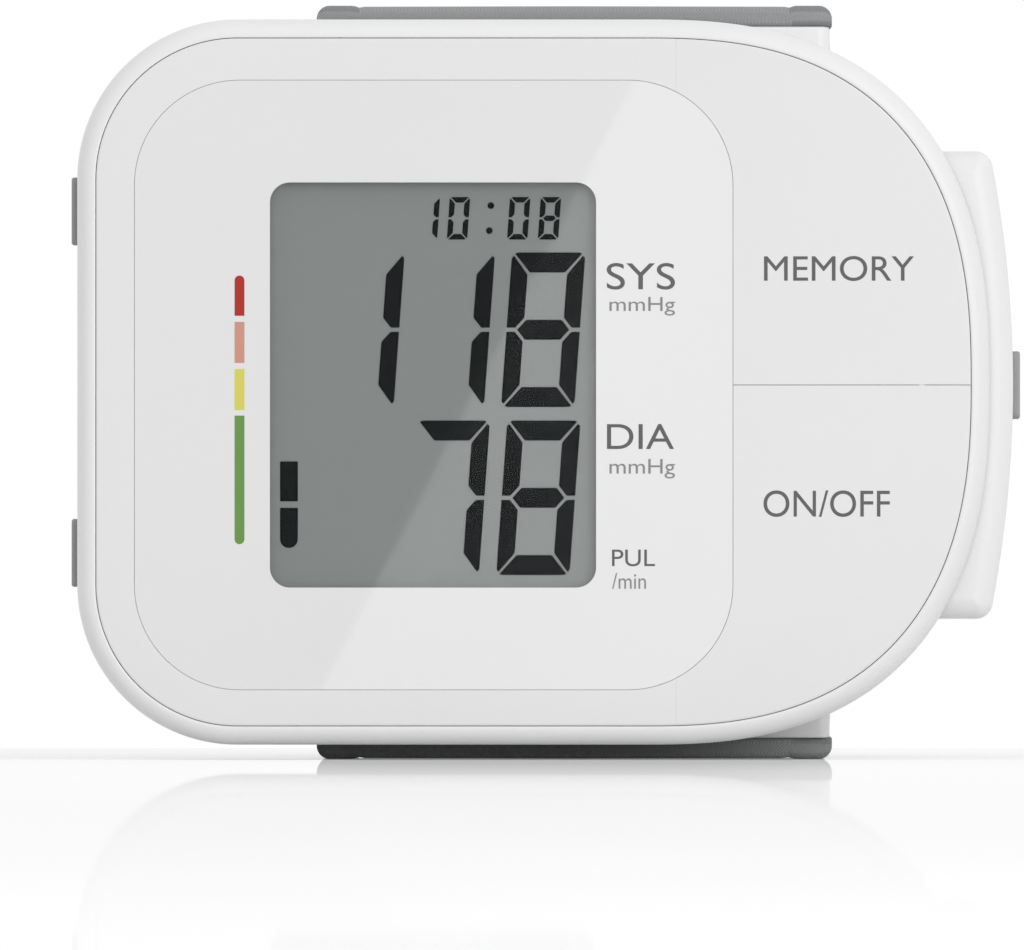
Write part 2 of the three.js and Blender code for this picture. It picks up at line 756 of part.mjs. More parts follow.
// Pockets that leave each wing as a skin with ribs that follow the wrist
function wingPockets() {
  const firstX = saddleLeft + saddleSkin;
  const pitch = (saddleRight - saddleSkin + saddleRib - firstX) / saddlePockets;
  const halfHeight = coverHalfHeight - saddleSkin;
  return Array.from({ length: saddlePockets }, (_, k) => block(
    [firstX + k * pitch, firstX + (k + 1) * pitch - saddleRib],
    [housingBackY + saddleSkin, wingEndY - saddleSkin],
    [-halfHeight, halfHeight],
  ));
}

function rearShell() {
  const tray = levelled(housingOutline, [[0, partingY], ...backRounding(backRound, housingBackY)]);
  const seatOuterZ = coverHalfHeight + coverThickness + clearance;
  const cuffSeat = [1, -1].map((side) => block(
    [cuffLeft - clearance, cuffRight + clearance],
    [partingY + cuffFrontGap - clearance, housingBackY + overrun],
    side > 0 ? [coverHalfHeight, seatOuterZ] : [-seatOuterZ, -coverHalfHeight],
  ));
  const shellBody = cut(joined(tray, saddleBlock()), innerRoom(0), ...cuffSeat);
  const bosses = screwPlaces.map(([x, z]) => rod(bossRadius, [x, partingY, z], [x, bayBackY + seam, z])
    .intersect(levelled(housingOutline, [[seam, partingY], [seam, housingBackY]])));
  const bores = screwPlaces.map(([x, z]) => rod(
    bossBoreRadius, [x, partingY - overrun, z], [x, housingBackY + overrun, z], smallSides));
  const counterbores = screwPlaces.map(([x, z]) => rod(
    counterboreRadius, [x, housingBackY - counterboreDepth, z], [x, housingBackY + overrun, z]));
  const inletHole = rod(
    inletRadius + clearance, [airX, bayBackY - overrun, manifoldZ], [airX, loopCentreY, manifoldZ], smallSides);
  const cutShell = cut(joined(shellBody, ...bosses, ...cradles()), ...bores, ...counterbores, inletHole, doorRecess());
  return joined(cutShell, ...hingeLugs());
}

// Two cradle ribs that carry the pump's motor and head
function cradles() {
  const pumpY = bayBackY - pumpHalf - clearance;
  return [pumpBottomZ + cradleThickness, pumpBottomZ + motorLength + pumpHeadLength - 2 * cradleThickness].map((z) => {
    const rib = block(
      [pumpX - pumpHalf - cradleThickness - clearance, pumpX + pumpHalf + cradleThickness + clearance],
      [bayBackY - cradleHeight, bayBackY + seam],
      [z, z + cradleThickness],
    );
    const room = block(
      [pumpX - pumpHalf - clearance, pumpX + pumpHalf + clearance],
      [pumpY, bayBackY],
      [z - overrun, z + cradleThickness + overrun],
    );
    return cut(rib, room);
  });
}

// Lugs on the rear shell, above and below the door's barrel
function hingeLugs() {
  return [1, -1].map((side) => {
    const low = faceCentreZ + side * (hingeBarrelHalf + clearance);
    const high = faceCentreZ + side * hingeLugHalf;
    const eye = rod(hingeRadius, [hingeX, hingeY, low], [hingeX, hingeY, high]);
    const web = block(
      [hingeX - hingeWebReach, hingeX],
      [hingeY - hingeWebHalf, hingeY + hingeWebHalf],
      side > 0 ? [low, high] : [high, low],
    );
    const bore = rod(
      hingePinRadius + clearance,
      [hingeX, hingeY, faceCentreZ + side * (hingeBarrelHalf - overrun)],
      [hingeX, hingeY, faceCentreZ + side * (hingeLugHalf + overrun)],
      smallSides,
    );
    return cut(joined(eye, web), bore);
  });
}

const hingePin = () => rod(
  hingePinRadius,
  [hingeX, hingeY, faceCentreZ - hingeLugHalf],
  [hingeX, hingeY, faceCentreZ + hingeLugHalf],
  smallSides,
);

// Battery door: a crowned cover, hollow towards the bay, with ribs, a hinge barrel and a slot for the latch
function batteryDoor() {
  const outer = levelled(doorOutline, [
    ...frontRounding(doorRound, doorRound, doorFrontY),
    ...backRounding(doorRound, doorBackY),
  ]);
  const hollow = levelled(doorOutline, [[doorWall, doorFrontY + doorWall], [doorWall, doorBackY - doorWall]]);
  const ribZ = [-2, 2].map((share) => faceCentreZ + share * doorRibPitch);
  const ribs = ribZ.map((z) => block(
    [doorInnerX + doorWall, doorCrownX - 2 * doorWall],
    [doorFrontY + doorWall / 2, doorBackY - doorWall / 2],
    [z - doorRibThickness / 2, z + doorRibThickness / 2],
  ));
  const squareCut = block(
    [doorInnerX - 2 * overrun, doorInnerX],
    [doorFrontY - overrun, doorBackY + overrun],
    [faceCentreZ - doorHalfHeight - overrun, faceCentreZ + doorHalfHeight + overrun],
  );
  const latchSlot = block(
    [doorInnerX + doorWall, doorCrownX + overrun],
    [latchY - latchDepth / 2 - clearance, latchY + latchDepth / 2 + clearance],
    [faceCentreZ - latchHeight / 2 - clearance, faceCentreZ + latchHeight / 2 + clearance],
  );
  const lugRoom = [1, -1].map((side) => joined(
    rod(
      hingeRadius + clearance,
      [hingeX, hingeY, faceCentreZ + side * hingeBarrelHalf],
      [hingeX, hingeY, faceCentreZ + side * (doorHalfHeight + overrun)],
    ),
    block(
      [doorInnerX - overrun, hingeX],
      [hingeY - hingeRadius - clearance, doorBackY + overrun],
      side > 0
        ? [faceCentreZ + hingeBarrelHalf, faceCentreZ + doorHalfHeight + overrun]
        : [faceCentreZ - doorHalfHeight - overrun, faceCentreZ - hingeBarrelHalf],
    ),
  ));
  const barrelEnds = [faceCentreZ - hingeBarrelHalf, faceCentreZ + hingeBarrelHalf];
  const barrel = rod(hingeRadius, [hingeX, hingeY, barrelEnds[0]], [hingeX, hingeY, barrelEnds[1]]);
  const cornerRoom = cut(
    block([doorInnerX - overrun, hingeX], [hingeY, doorBackY + overrun], barrelEnds),
    rod(hingeRadius, [hingeX, hingeY, barrelEnds[0] - overrun], [hingeX, hingeY, barrelEnds[1] + overrun]),
  );
  const pinBore = rod(
    hingePinRadius + clearance,
    [hingeX, hingeY, faceCentreZ - doorHalfHeight],
    [hingeX, hingeY, faceCentreZ + doorHalfHeight],
    smallSides,
  );
  const body = cut(joined(cut(outer, hollow, squareCut), ...ribs), latchSlot, ...lugRoom, cornerRoom);
  return cut(joined(body, barrel), pinBore);
}

// Door latch: a tab through the door with a flange behind it and a nose that reaches forward
function doorLatch() {
  const wallX = doorCrownX - doorWall;
  const flangeX = wallX - clearance - latchFlangeThickness;
  const tab = bar(
    roundedRectangle(latchY, faceCentreZ, latchDepth / 2, latchHeight / 2, coverCornerRadius / 2, 3),
    flangeX,
    doorCrownX + latchProud,
  );
  const flange = block(
    [flangeX, flangeX + latchFlangeThickness],
    [latchY - latchDepth / 2 - latchFlangeMargin, latchY + latchDepth / 2 + latchFlangeMargin],
    [faceCentreZ - latchHeight / 2 - latchFlangeMargin, faceCentreZ + latchHeight / 2 + latchFlangeMargin],
  );
  const nose = block(
    [flangeX - latchNoseLength, flangeX + seam],
    [latchY - latchDepth / 2, latchY - latchDepth / 2 + latchFlangeThickness],
    [faceCentreZ - latchNoseHeight / 2, faceCentreZ + latchNoseHeight / 2],
  );
  return joined(tab, flange, nose);
}

// Battery bay: an open box that follows the shell inside, with a ridge between the two cells
function batteryBay() {
  const left = bayInnerLeft - bayWall;
  const outer = block([left, doorInnerX - clearance], [bayFrontY, bayBackY], [-bayHalfOutside, bayHalfOutside]);
  const inside = block(
    [bayInnerLeft, doorInnerX + overrun],
    [bayFrontY + bayWall, bayBackY - bayWall],
    [-bayHalfInside, bayHalfInside],
  );
  const bossRoom = screwPlaces.map(([x, z]) => rod(bossRadius + clearance, [x, 0, z], [x, housingBackY, z]));
  const doorRoom = block(
    [doorInnerX - 2 * clearance, doorCrownX],
    [0, housingBackY],
    [-housingHalfHeight, housingHalfHeight],
  );
  const hingeRoom = block(
    [hingeX - hingeWebReach - clearance, doorCrownX],
    [hingeY - hingeRadius - clearance, housingBackY],
    [-housingHalfHeight, housingHalfHeight],
  );
  const ridge = bayRidge();
  return cut(joined(cut(outer, inside), ridge).intersect(innerRoom(clearance)), ...bossRoom, doorRoom, hingeRoom);
}

// A low ridge on the bay's back wall that keeps the cells apart
function bayRidge() {
  const middleX = (outerCellX + innerCellX) / 2;
  const halfWidth = cellPitch / 2 - cellRadius * Math.SQRT1_2;
  const backY = bayBackY - bayWall + seam;
  const outline = [
    new THREE.Vector2(middleX - halfWidth, backY),
    new THREE.Vector2(middleX + halfWidth, backY),
    new THREE.Vector2(middleX, backY - bayRidgeHeight),
  ];
  return post(outline, -cellLength / 4, cellLength / 4);
}

// Cells: a body with shoulders and a raised positive end; the inner one stands the other way up
function cell(x, up) {
  const half = cellLength / 2;
  const base = -half;
  const profile = [
    [0, base],
    [cellRadius - cellShoulder, base],
    [cellRadius, base + cellShoulder],
    [cellRadius, half - cellNubHeight - cellShoulder],
    [cellRadius - cellShoulder, half - cellNubHeight],
    [cellNubRadius, half - cellNubHeight],
    [cellNubRadius, half],
    [0, half],
  ].map(([r, h]) => new THREE.Vector2(r, h));
  const geometry = new THREE.LatheGeometry(profile, 2 * smallSides);
  geometry.rotateX(up > 0 ? Math.PI / 2 : -Math.PI / 2);
  geometry.translate(x, cellY, up * (bayHalfInside - contactPlateThickness - contactBumpHeight - half));
  return solidFrom(geometry);
}

// Contact plates at the ends of the bay, each with a bump under a positive end
function contactPlate(xLeft, xRight, side, bumpX) {
  const outer = side * bayHalfInside;
  const inner = outer - side * contactPlateThickness;
  const sheet = block(
    [xLeft - contactPlateWidth / 2, xRight + contactPlateWidth / 2],
    [cellY - contactPlateWidth / 2, cellY + contactPlateWidth / 2],
    side > 0 ? [inner, outer] : [outer, inner],
  );
  if (bumpX === null) return sheet;
  const bumpTop = inner - side * contactBumpHeight;
  return joined(sheet, rod(contactBumpRadius, [bumpX, cellY, outer], [bumpX, cellY, bumpTop], smallSides));
}

// Coil spring at a cell's negative end: one unbroken conical helix of wire
function cellSpring(x, side) {
  const low = bayHalfInside - contactPlateThickness - springEndGap - springWireRadius;
  const rise = springLength - 2 * springWireRadius;
  const steps = springTurns * curlSteps;
  const centre = (share) => {
    const angle = 2 * Math.PI * springTurns * share;
    const radius = THREE.MathUtils.lerp(springBaseRadius, springTipRadius, share);
    return new THREE.Vector3(radius * Math.cos(angle), radius * Math.sin(angle), rise * share);
  };
  const circle = Array.from({ length: curlSides }, (_, k) => {
    const angle = (2 * Math.PI * k) / curlSides;
    return new THREE.Vector2(springWireRadius * Math.cos(angle), springWireRadius * Math.sin(angle));
  });
  const points = Array.from({ length: steps + 1 }, (_, k) => centre(k / steps));
  const rings = points.map((point, k) => {
    const ahead = points[Math.min(k + 1, steps)].clone();
    const tangent = ahead.sub(points[Math.max(k - 1, 0)]).normalize();
    const outward = new THREE.Vector3(point.x, point.y, 0).normalize();
    outward.addScaledVector(tangent, -outward.dot(tangent)).normalize();
    const upward = outward.clone().cross(tangent);
    return circle.map((c) => point.clone().addScaledVector(outward, c.x).addScaledVector(upward, c.y).toArray());
  });
  reportLeastGap(points);
  const coil = skinned(rings, circle);
  const turned = side > 0 ? coil.rotate([180, 0, 0]) : coil;
  return turned.translate([x, cellY, side * low]);
}

// The least gap between two turns of the wire, measured between its centre points
function reportLeastGap(points) {
  let least = Infinity;
  points.forEach((a, i) => points.slice(i + curlSteps / 2).forEach((b) => {
    least = Math.min(least, a.distanceTo(b) - 2 * springWireRadius);
  }));
  const verdict = least > springLeastGap ? "over" : "under";
  console.log(`spring: least gap between turns ${least.toFixed(3)} mm, ${verdict} ${springLeastGap} mm`);
}

// Case screw: a round head with a cross recess, sunk in the rear shell
function caseScrew([x, z]) {
  const seatY = housingBackY - counterboreDepth;
  const topY = seatY + screwHeadHeight;
  const head = rod(screwHeadRadius, [x, seatY, z], [x, topY, z]);
  const shank = rod(screwRadius, [x, seatY - screwLength + clearance, z], [x, seatY + seam, z], smallSides);
  const recess = [[screwRadius, slotWidth / 2], [slotWidth / 2, screwRadius]].map(([halfX, halfZ]) => block(
    [x - halfX, x + halfX], [topY - slotDepth, topY + overrun], [z - halfZ, z + halfZ]));
  return cut(joined(head, shank), ...recess);
}

// Pump: motor can, diaphragm head with two grooves, and a cover with the air nozzle
const pumpY = bayBackY - pumpHalf - clearance;
const pumpHeadZ = pumpBottomZ + motorLength;
const pumpCoverZ = pumpHeadZ + pumpHeadLength - pumpCoverLength;
const pumpTopZ = pumpHeadZ + pumpHeadLength;

function pumpSection(halfSize) {
  return roundedRectangle(pumpX, pumpY, halfSize, halfSize, pumpCornerRadius, 3);
}

function pumpMotor() {
  const can = rod(motorRadius, [pumpX, pumpY, pumpBottomZ], [pumpX, pumpY, pumpHeadZ], 2 * smallSides);
  const bearing = rod(
    motorRadius / 3, [pumpX, pumpY, pumpBottomZ - cradleThickness], [pumpX, pumpY, pumpHeadZ], smallSides);
  return joined(can, bearing);
}

function pumpHead() {
  const body = post(pumpSection(pumpHalf), pumpHeadZ, pumpCoverZ);
  const grooves = [1, 2].map((k) => {
    const z = THREE.MathUtils.lerp(pumpHeadZ, pumpCoverZ, k / 3);
    const band = post(pumpSection(pumpHalf + overrun), z, z + pumpGrooveDepth);
    return cut(band, post(pumpSection(pumpHalf - pumpGrooveDepth), z - overrun, z + overrun));
  });
  return cut(body, ...grooves);
}

function pumpCover() {
  const body = post(pumpSection(pumpHalf), pumpCoverZ, pumpTopZ);
  const nozzle = rod(nippleRadius, [pumpX, pumpY, pumpCoverZ], [pumpX, pumpY, pumpTopZ + nippleLength], smallSides);
  return joined(body, nozzle);
}

// Exhaust valve: a round coil body with end flanges and a nipple
function exhaustValve() {
  const bottomZ = valveTopZ - valveLength;
  const core = rod(valveRadius - pumpGrooveDepth, [airX, airY, bottomZ], [airX, airY, valveTopZ]);
  const flanges = [bottomZ, valveTopZ - cradleThickness].map((z) => rod(
    valveRadius, [airX, airY, z], [airX, airY, z + cradleThickness]));
  const nipple = rod(nippleRadius, [airX, airY, bottomZ], [airX, airY, valveTopZ + nippleLength], smallSides);
  return joined(core, ...flanges, nipple);
}

// Air manifold: a small block with nipples to the pump, the valve, the sensor and the cuff
function airManifold() {
  const centre = [airX, airY, manifoldZ];
  const body = block(...centre.map((middle) => [middle - manifoldHalf, middle + manifoldHalf]));
  const reach = manifoldHalf + nippleLength;
  const directions = [[-1, 0, 0], [0, 0, 1], [0, 0, -1], [0, 1, 0]];
  const nipples = directions.map((direction) => rod(
    nippleRadius, centre, centre.map((middle, axis) => middle + reach * direction[axis]), smallSides));
  return joined(body, ...nipples);
}

// A hose route: straight runs between corners that are rounded to the bend radius
function roundedRoute(corners) {
  const points = corners.map((corner) => new THREE.Vector3(...corner));
  const route = points.flatMap((point, k) => {
    if (k === 0 || k === points.length - 1) return [point];
    const back = points[k - 1].clone().sub(point).normalize();
    const on = points[k + 1].clone().sub(point).normalize();
    const middle = back.clone().add(on).multiplyScalar(hoseBend * (1 - Math.SQRT1_2));
    return [
      point.clone().addScaledVector(back, hoseBend),
      point.clone().add(middle),
      point.clone().addScaledVector(on, hoseBend),
    ];
  });
  return new THREE.CatmullRomCurve3(route, false, "centripetal");
}

// A soft hose: a round section with its bore, carried along its route
function hose(corners, steps = hoseSteps) {
  const ring = (radius) => Array.from({ length: hoseSides }, (_, k) => {
    const angle = (2 * Math.PI * k) / hoseSides;
    return new THREE.Vector2(radius * Math.cos(angle), radius * Math.sin(angle));
  });
  const section = new THREE.Shape(ring(hoseRadius));
  section.holes.push(new THREE.Path(ring(hoseBoreRadius).reverse()));
  const path = corners.length > 2
    ? roundedRoute(corners)
    : new THREE.LineCurve3(new THREE.Vector3(...corners[0]), new THREE.Vector3(...corners[1]));
  return solidFrom(new THREE.ExtrudeGeometry(section, { steps, bevelEnabled: false, extrudePath: path }));
}

const pumpHose = () => hose([
  [pumpX, pumpY, pumpTopZ + hoseGap],
  [pumpX, pumpY, hoseTopZ],
  [hoseX, airY, hoseTopZ],
  [hoseX, airY, manifoldZ],
  [airX - manifoldHalf - hoseGap, airY, manifoldZ],
]);

const sensorHose = () => hose([
  [airX, airY, manifoldZ + manifoldHalf + hoseGap],
  [airX, airY, sensorZ],
  [airX, boardBackY + sensorHeight + hoseGap, sensorZ],
], hoseSteps / 2);

const valveHose = () => hose([
  [airX, airY, valveTopZ + hoseGap],
  [airX, airY, manifoldZ - manifoldHalf - hoseGap],
], 1);

// Cuff layers: sections in x and height over the loop line, carried along stations of the loop
const degreesDown = (from, to) => {
  const inner = [];
  for (let step = Math.ceil(from / cuffStepDegrees) - 1; step * cuffStepDegrees > to; step--) {
    inner.push(step * cuffStepDegrees);
  }
  return [from, ...inner, to];
};

function loopStation(degrees, lift = 0, thin = 1) {
  const angle = THREE.MathUtils.degToRad(degrees);
  const [ny, nz] = [Math.cos(angle), Math.sin(angle)];
  return { y: loopCentreY + coverHalfDepth * ny, z: coverHalfHeight * nz, ny, nz, lift, thin };
}

const flatStation = (y, side) => ({ y, z: side * coverHalfHeight, ny: 0, nz: side, lift: 0, thin: 1 });

function carried(stations, section) {
  const rings = stations.map(({ y, z, ny, nz, lift, thin }) => section.map((p) => {
    const height = lift + p.y * thin;
    return [p.x, y + ny * height, z + nz * height];
  }));
  return skinned(rings, section);
}

function slabSection(x0, x1, low, high) {
  return [[x0, low], [x1, low], [x1, high], [x0, high]].map(([x, h]) => new THREE.Vector2(x, h));
}

// Padded section: square inside, with round outer corners
function coverSection() {
  const high = coverThickness - coverCornerRadius;
  return [
    new THREE.Vector2(cuffLeft, 0),
    new THREE.Vector2(cuffRight, 0),
    ...arcPoints(cuffRight - coverCornerRadius, high, coverCornerRadius, 0, 90, 4),
    ...arcPoints(cuffLeft + coverCornerRadius, high, coverCornerRadius, 90, 180, 4),
  ];
}

const coverFrontY = partingY + cuffFrontGap;

// Stations that round the end of a layer, from its edge inwards, where "at" gives the station at a distance in
function roundedEnd(at) {
  return Array.from({ length: cuffEndSteps + 1 }, (_, k) => {
    const angle = (k / cuffEndSteps) * (Math.PI / 2);
    const inset = cuffEndRadius * (1 - Math.sin(angle));
    const station = at(cuffEndRadius * (1 - Math.cos(angle)));
    return { ...station, lift: station.lift + inset, thin: station.thin - (2 * inset) / coverThickness };
  });
}

const coverFrontEnd = (side) => roundedEnd((distance) => flatStation(coverFrontY + distance, side));

function cuffCoverUpper() {
  const arc = degreesDown(90, flapHingeDegrees).map((degrees) => {
    const span = upperLiftStartDegrees - upperLiftEndDegrees;
    const share = THREE.MathUtils.clamp((upperLiftStartDegrees - degrees) / span, 0, 1);
    const eased = THREE.MathUtils.smoothstep(share, 0, 1);
    return loopStation(degrees, eased * flapOffset, THREE.MathUtils.lerp(1, flapThickness / coverThickness, eased));
  });
  return carried([...coverFrontEnd(1), ...arc], coverSection());
}

function cuffCoverLower() {
  const arc = degreesDown(lowerCoverEndDegrees + 360, 270).map((degrees) => loopStation(degrees));
  return carried([...arc, ...coverFrontEnd(-1).reverse()], coverSection());
}

function cuffFlap() {
  const station = (degrees) => loopStation(degrees, flapOffset, flapThickness / coverThickness);
  const degreesIn = (distance) => flapEndDegrees + THREE.MathUtils.radToDeg(distance / coverHalfDepth);
  const arc = degreesDown(flapHingeDegrees - flapJointGapDegrees, degreesIn(cuffEndRadius)).slice(0, -1);
  const end = roundedEnd((distance) => station(degreesIn(distance))).reverse();
  return carried([...arc.map(station), ...end], coverSection());
}

function hookPatch() {
  const low = coverThickness + clearance;
  const section = slabSection(cuffLeft + hookMargin, cuffRight - hookMargin, low, low + hookThickness);
  return carried(degreesDown(hookStartDegrees, hookEndDegrees).map((degrees) => loopStation(degrees)), section);
}

// The inner layers run from the slit at the back, under and in front of the wrist, and back to the slit
const innerArc = () => degreesDown(360 - slitDegrees, slitDegrees).map((degrees) => loopStation(degrees));

// Lining: a channel whose lips close the edges of the cuff
function cuffLining() {
  const low = -layerStack;
  const section = [
    [cuffLeft, low], [cuffRight, low], [cuffRight, -clearance], [cuffRight - edgeLipWidth, -clearance],
    [cuffRight - edgeLipWidth, low + liningThickness], [cuffLeft + edgeLipWidth, low + liningThickness],
    [cuffLeft + edgeLipWidth, -clearance], [cuffLeft, -clearance],
  ].map(([x, h]) => new THREE.Vector2(x, h));
  return carried(innerArc(), section);
}

const inletEndY = loopCentreY - wristHalfDepth - liningThickness - clearance - bladderThickness / 2;
const inletStartY = airY + manifoldHalf + hoseGap;

function cuffBladder() {
  const low = -layerStack + liningThickness + clearance;
  const bag = carried(innerArc(), slabSection(
    cuffLeft + innerSideGap, cuffRight - innerSideGap, low, low + bladderThickness));
  const inlet = rod(inletRadius, [airX, inletStartY, manifoldZ], [airX, inletEndY, manifoldZ], smallSides);
  const bore = rod(
    inletBoreRadius, [airX, inletStartY - overrun, manifoldZ],
    [airX, inletEndY - bladderThickness / 2, manifoldZ], smallSides);
  return cut(joined(bag, inlet), bore);
}

function curlLiner() {
  const high = -clearance;
  const sheet = carried(innerArc(), slabSection(
    cuffLeft + innerSideGap, cuffRight - innerSideGap, high - curlThickness, high));
  const inletHole = rod(
    inletRadius + clearance, [airX, inletStartY, manifoldZ], [airX, inletEndY, manifoldZ], smallSides);
  return cut(sheet, inletHole);
}

// Assembly
const face = new THREE.Group();
face.add(
  part("front_shell", frontShell(), whiteShell()),
  part("face_plate", facePlate(), faceWhite()),
  part("lens_panel", lensPanel(), faceWhite()),
  part("display_window", displayWindow(), material(0xaab0ad, 0.1)),
  part("lcd_panel", lcdPanel(), material(0x868c88, 0.2)),
  part("lcd_frame", lcdFrame(), innerBlack()),
  part("contact_strip_upper", contactStrip(1), material(0x3b3b3d, 0.8)),
  part("contact_strip_lower", contactStrip(-1), material(0x3b3b3d, 0.8)),
  part("memory_key", key(1), faceWhite()),
  part("on_off_key", key(-1), faceWhite()),
);

const electronics = new THREE.Group();
electronics.add(
  part("circuit_board", circuitBoard(), material(0x1f6b3c, 0.5)),
  part("processor_chip", processorChip(), innerBlack()),
  part("buzzer", buzzer(), innerBlack()),
  part("pressure_sensor", pressureSensor(), material(0xd8d8d2, 0.5)),
);
[["memory", 1], ["on_off", -1]].forEach(([name, side]) => electronics.add(
  part(`${name}_switch`, keySwitch(side), steel()),
  part(`${name}_plunger`, keyPlunger(side), innerBlack()),
));
[["upper", 1], ["lower", -1]].forEach(([name, side]) => electronics.add(
  part(`side_button_${name}`, sideButton(side), softGrey()),
  part(`side_switch_${name}`, sideSwitch(side), steel()),
  part(`side_plunger_${name}`, sidePlunger(side), innerBlack()),
));

const air = new THREE.Group();
air.add(
  part("pump_motor", pumpMotor(), steel()),
  part("pump_head", pumpHead(), innerBlack()),
  part("pump_cover", pumpCover(), material(0xd8d8d2, 0.5)),
  part("exhaust_valve", exhaustValve(), steel()),
  part("air_manifold", airManifold(), material(0xd8d8d2, 0.5)),
  part("pump_hose", pumpHose(), material(0xc9ccca, 0.6)),
  part("sensor_hose", sensorHose(), material(0xc9ccca, 0.6)),
  part("valve_hose", valveHose(), material(0xc9ccca, 0.6)),
);

const power = new THREE.Group();
power.add(
  part("battery_bay", batteryBay(), whiteShell()),
  part("cell_outer", cell(outerCellX, 1), material(0x5d6064, 0.35, 0.6)),
  part("cell_inner", cell(innerCellX, -1), material(0x5d6064, 0.35, 0.6)),
  part("contact_positive", contactPlate(outerCellX, outerCellX, 1, outerCellX), steel()),
  part("contact_negative", contactPlate(innerCellX, innerCellX, 1, null), steel()),
  part("contact_bridge", contactPlate(innerCellX, outerCellX, -1, innerCellX), steel()),
  part("spring_outer", cellSpring(outerCellX, -1), steel()),
  part("spring_inner", cellSpring(innerCellX, 1), steel()),
  part("battery_door", batteryDoor(), whiteShell()),
  part("door_latch", doorLatch(), softGrey()),
  part("door_hinge_pin", hingePin(), steel()),
);

const back = new THREE.Group();
back.add(part("rear_shell", rearShell(), whiteShell()));
screwPlaces.forEach((place, k) => back.add(part(`case_screw_${k + 1}`, caseScrew(place), steel())));

const cuff = new THREE.Group();
cuff.add(
  part("cuff_cover_upper", cuffCoverUpper(), cuffFabric()),
  part("cuff_cover_lower", cuffCoverLower(), cuffFabric()),
  part("cuff_flap", cuffFlap(), cuffFabric()),
  part("hook_patch", hookPatch(), material(0x4d4f52, 0.95)),
  part("cuff_lining", cuffLining(), material(0x9a9c9e, 0.9)),
  part("cuff_bladder", cuffBladder(), material(0x6f7376, 0.7)),
  part("curl_liner", curlLiner(), material(0xd9d9d4, 0.45)),
);

// The object stands with the middle of its depth over the origin and the cuff's underside on the floor
const monitor = new THREE.Group();
monitor.add(face, electronics, air, power, back, cuff);
monitor.position.set(0, -overallDepth / 2, overallHalfHeight);
monitor.updateMatrixWorld(true);

export default monitor;
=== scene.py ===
import json
import math
import bmesh
import bpy
import numpy as np
from mathutils import Matrix, Vector


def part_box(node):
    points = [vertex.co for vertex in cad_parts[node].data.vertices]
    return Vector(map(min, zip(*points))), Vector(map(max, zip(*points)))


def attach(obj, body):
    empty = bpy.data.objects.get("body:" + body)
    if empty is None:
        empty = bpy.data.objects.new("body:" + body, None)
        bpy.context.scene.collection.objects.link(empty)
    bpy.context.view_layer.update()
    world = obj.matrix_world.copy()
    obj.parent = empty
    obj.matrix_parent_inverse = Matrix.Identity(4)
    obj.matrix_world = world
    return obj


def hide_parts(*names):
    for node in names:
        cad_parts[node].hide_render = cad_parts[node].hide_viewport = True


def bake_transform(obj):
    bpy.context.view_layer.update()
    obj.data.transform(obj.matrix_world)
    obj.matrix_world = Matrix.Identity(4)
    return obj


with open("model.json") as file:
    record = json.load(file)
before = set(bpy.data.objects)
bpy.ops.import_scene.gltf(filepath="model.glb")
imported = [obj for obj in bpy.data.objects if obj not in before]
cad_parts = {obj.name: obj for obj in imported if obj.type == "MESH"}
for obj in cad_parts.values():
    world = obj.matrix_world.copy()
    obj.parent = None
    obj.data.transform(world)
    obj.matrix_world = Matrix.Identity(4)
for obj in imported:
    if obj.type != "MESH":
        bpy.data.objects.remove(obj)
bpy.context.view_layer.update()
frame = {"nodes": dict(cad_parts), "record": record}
scene = bpy.context.scene

# Pieces are drawn in millimetres: x right, y back from the face, z up from the housing's middle
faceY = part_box("face_plate")[0].y * 1000
shellLow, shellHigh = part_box("front_shell")
designZero = np.array([0.0, faceY, (shellLow.z + shellHigh.z) * 500])

cameraValues = {"lens": 1500, "sensor": 36, "pictureWidth": 102.4, "centreX": -3.4, "heightZ": 28.5,
                "nearest": 0.1, "farthest": 20}
worldValues = {"soft": 0.78, "seen": 1.0}
floorValues = {"half": 1.6, "front": -2.6, "back": 0.14, "mirrorNear": 0.57, "mirrorFar": 0.12,
               "polish": 0.1, "fade": 0.3, "blur": 0.015, "liftNear": 0.40, "liftFar": 0.12,
               "seen": 0.85, "bounce": 0.80}
lampTarget = (0, 0, 0.035)
lampValues = [
    {"name": "softboxTop", "watts": 0.6, "size": 0.8, "at": (0.20, -0.5, 0.95)},
    {"name": "softboxFront", "watts": 18.4, "size": 1.6, "at": (1.10, -2.0, 0.70)},
]
cardValues = {"distance": 400.0, "topX": 8.8, "topZ": 68.0, "slope": 0.5118, "strength": 2.4, "rise": 20.0,
              "fall": 66.0, "right": 160.0}


def pick(given, names):
    # several values of a dictionary at once
    return [given[name] for name in names.split()]


def newObject(name, data):
    made = bpy.data.objects.new(name, data)
    scene.collection.objects.link(made)
    return made


def nodeTree(owner):
    owner.use_nodes = True
    owner.node_tree.nodes.clear()
    return owner.node_tree


def add(tree, kind, sockets=None, **settings):
    # the outputs of one new shader node; a socket takes a number, a colour or another node's output
    node = tree.nodes.new("ShaderNode" + kind)
    for key, value in settings.items():
        setattr(node, key, value)
    for key, value in (sockets or {}).items():
        if isinstance(value, bpy.types.NodeSocket):
            tree.links.new(value, node.inputs[key])
        else:
            node.inputs[key].default_value = (*value, 1) if isinstance(value, tuple) else value
    return node.outputs


def maths(tree, operation, *values, **settings):
    return add(tree, "Math", dict(enumerate(values)), operation=operation, **settings)[0]


def mixShaders(tree, mask, first, second):
    return add(tree, "MixShader", {0: mask, 1: first, 2: second})[0]


def straightLook(tree):
    # 1 where the camera, a gloss or glass looks straight at the surface
    path = add(tree, "LightPath")
    look = maths(tree, "MAXIMUM", path["Is Camera Ray"], path["Is Glossy Ray"])
    return maths(tree, "MAXIMUM", look, path["Is Transmission Ray"])


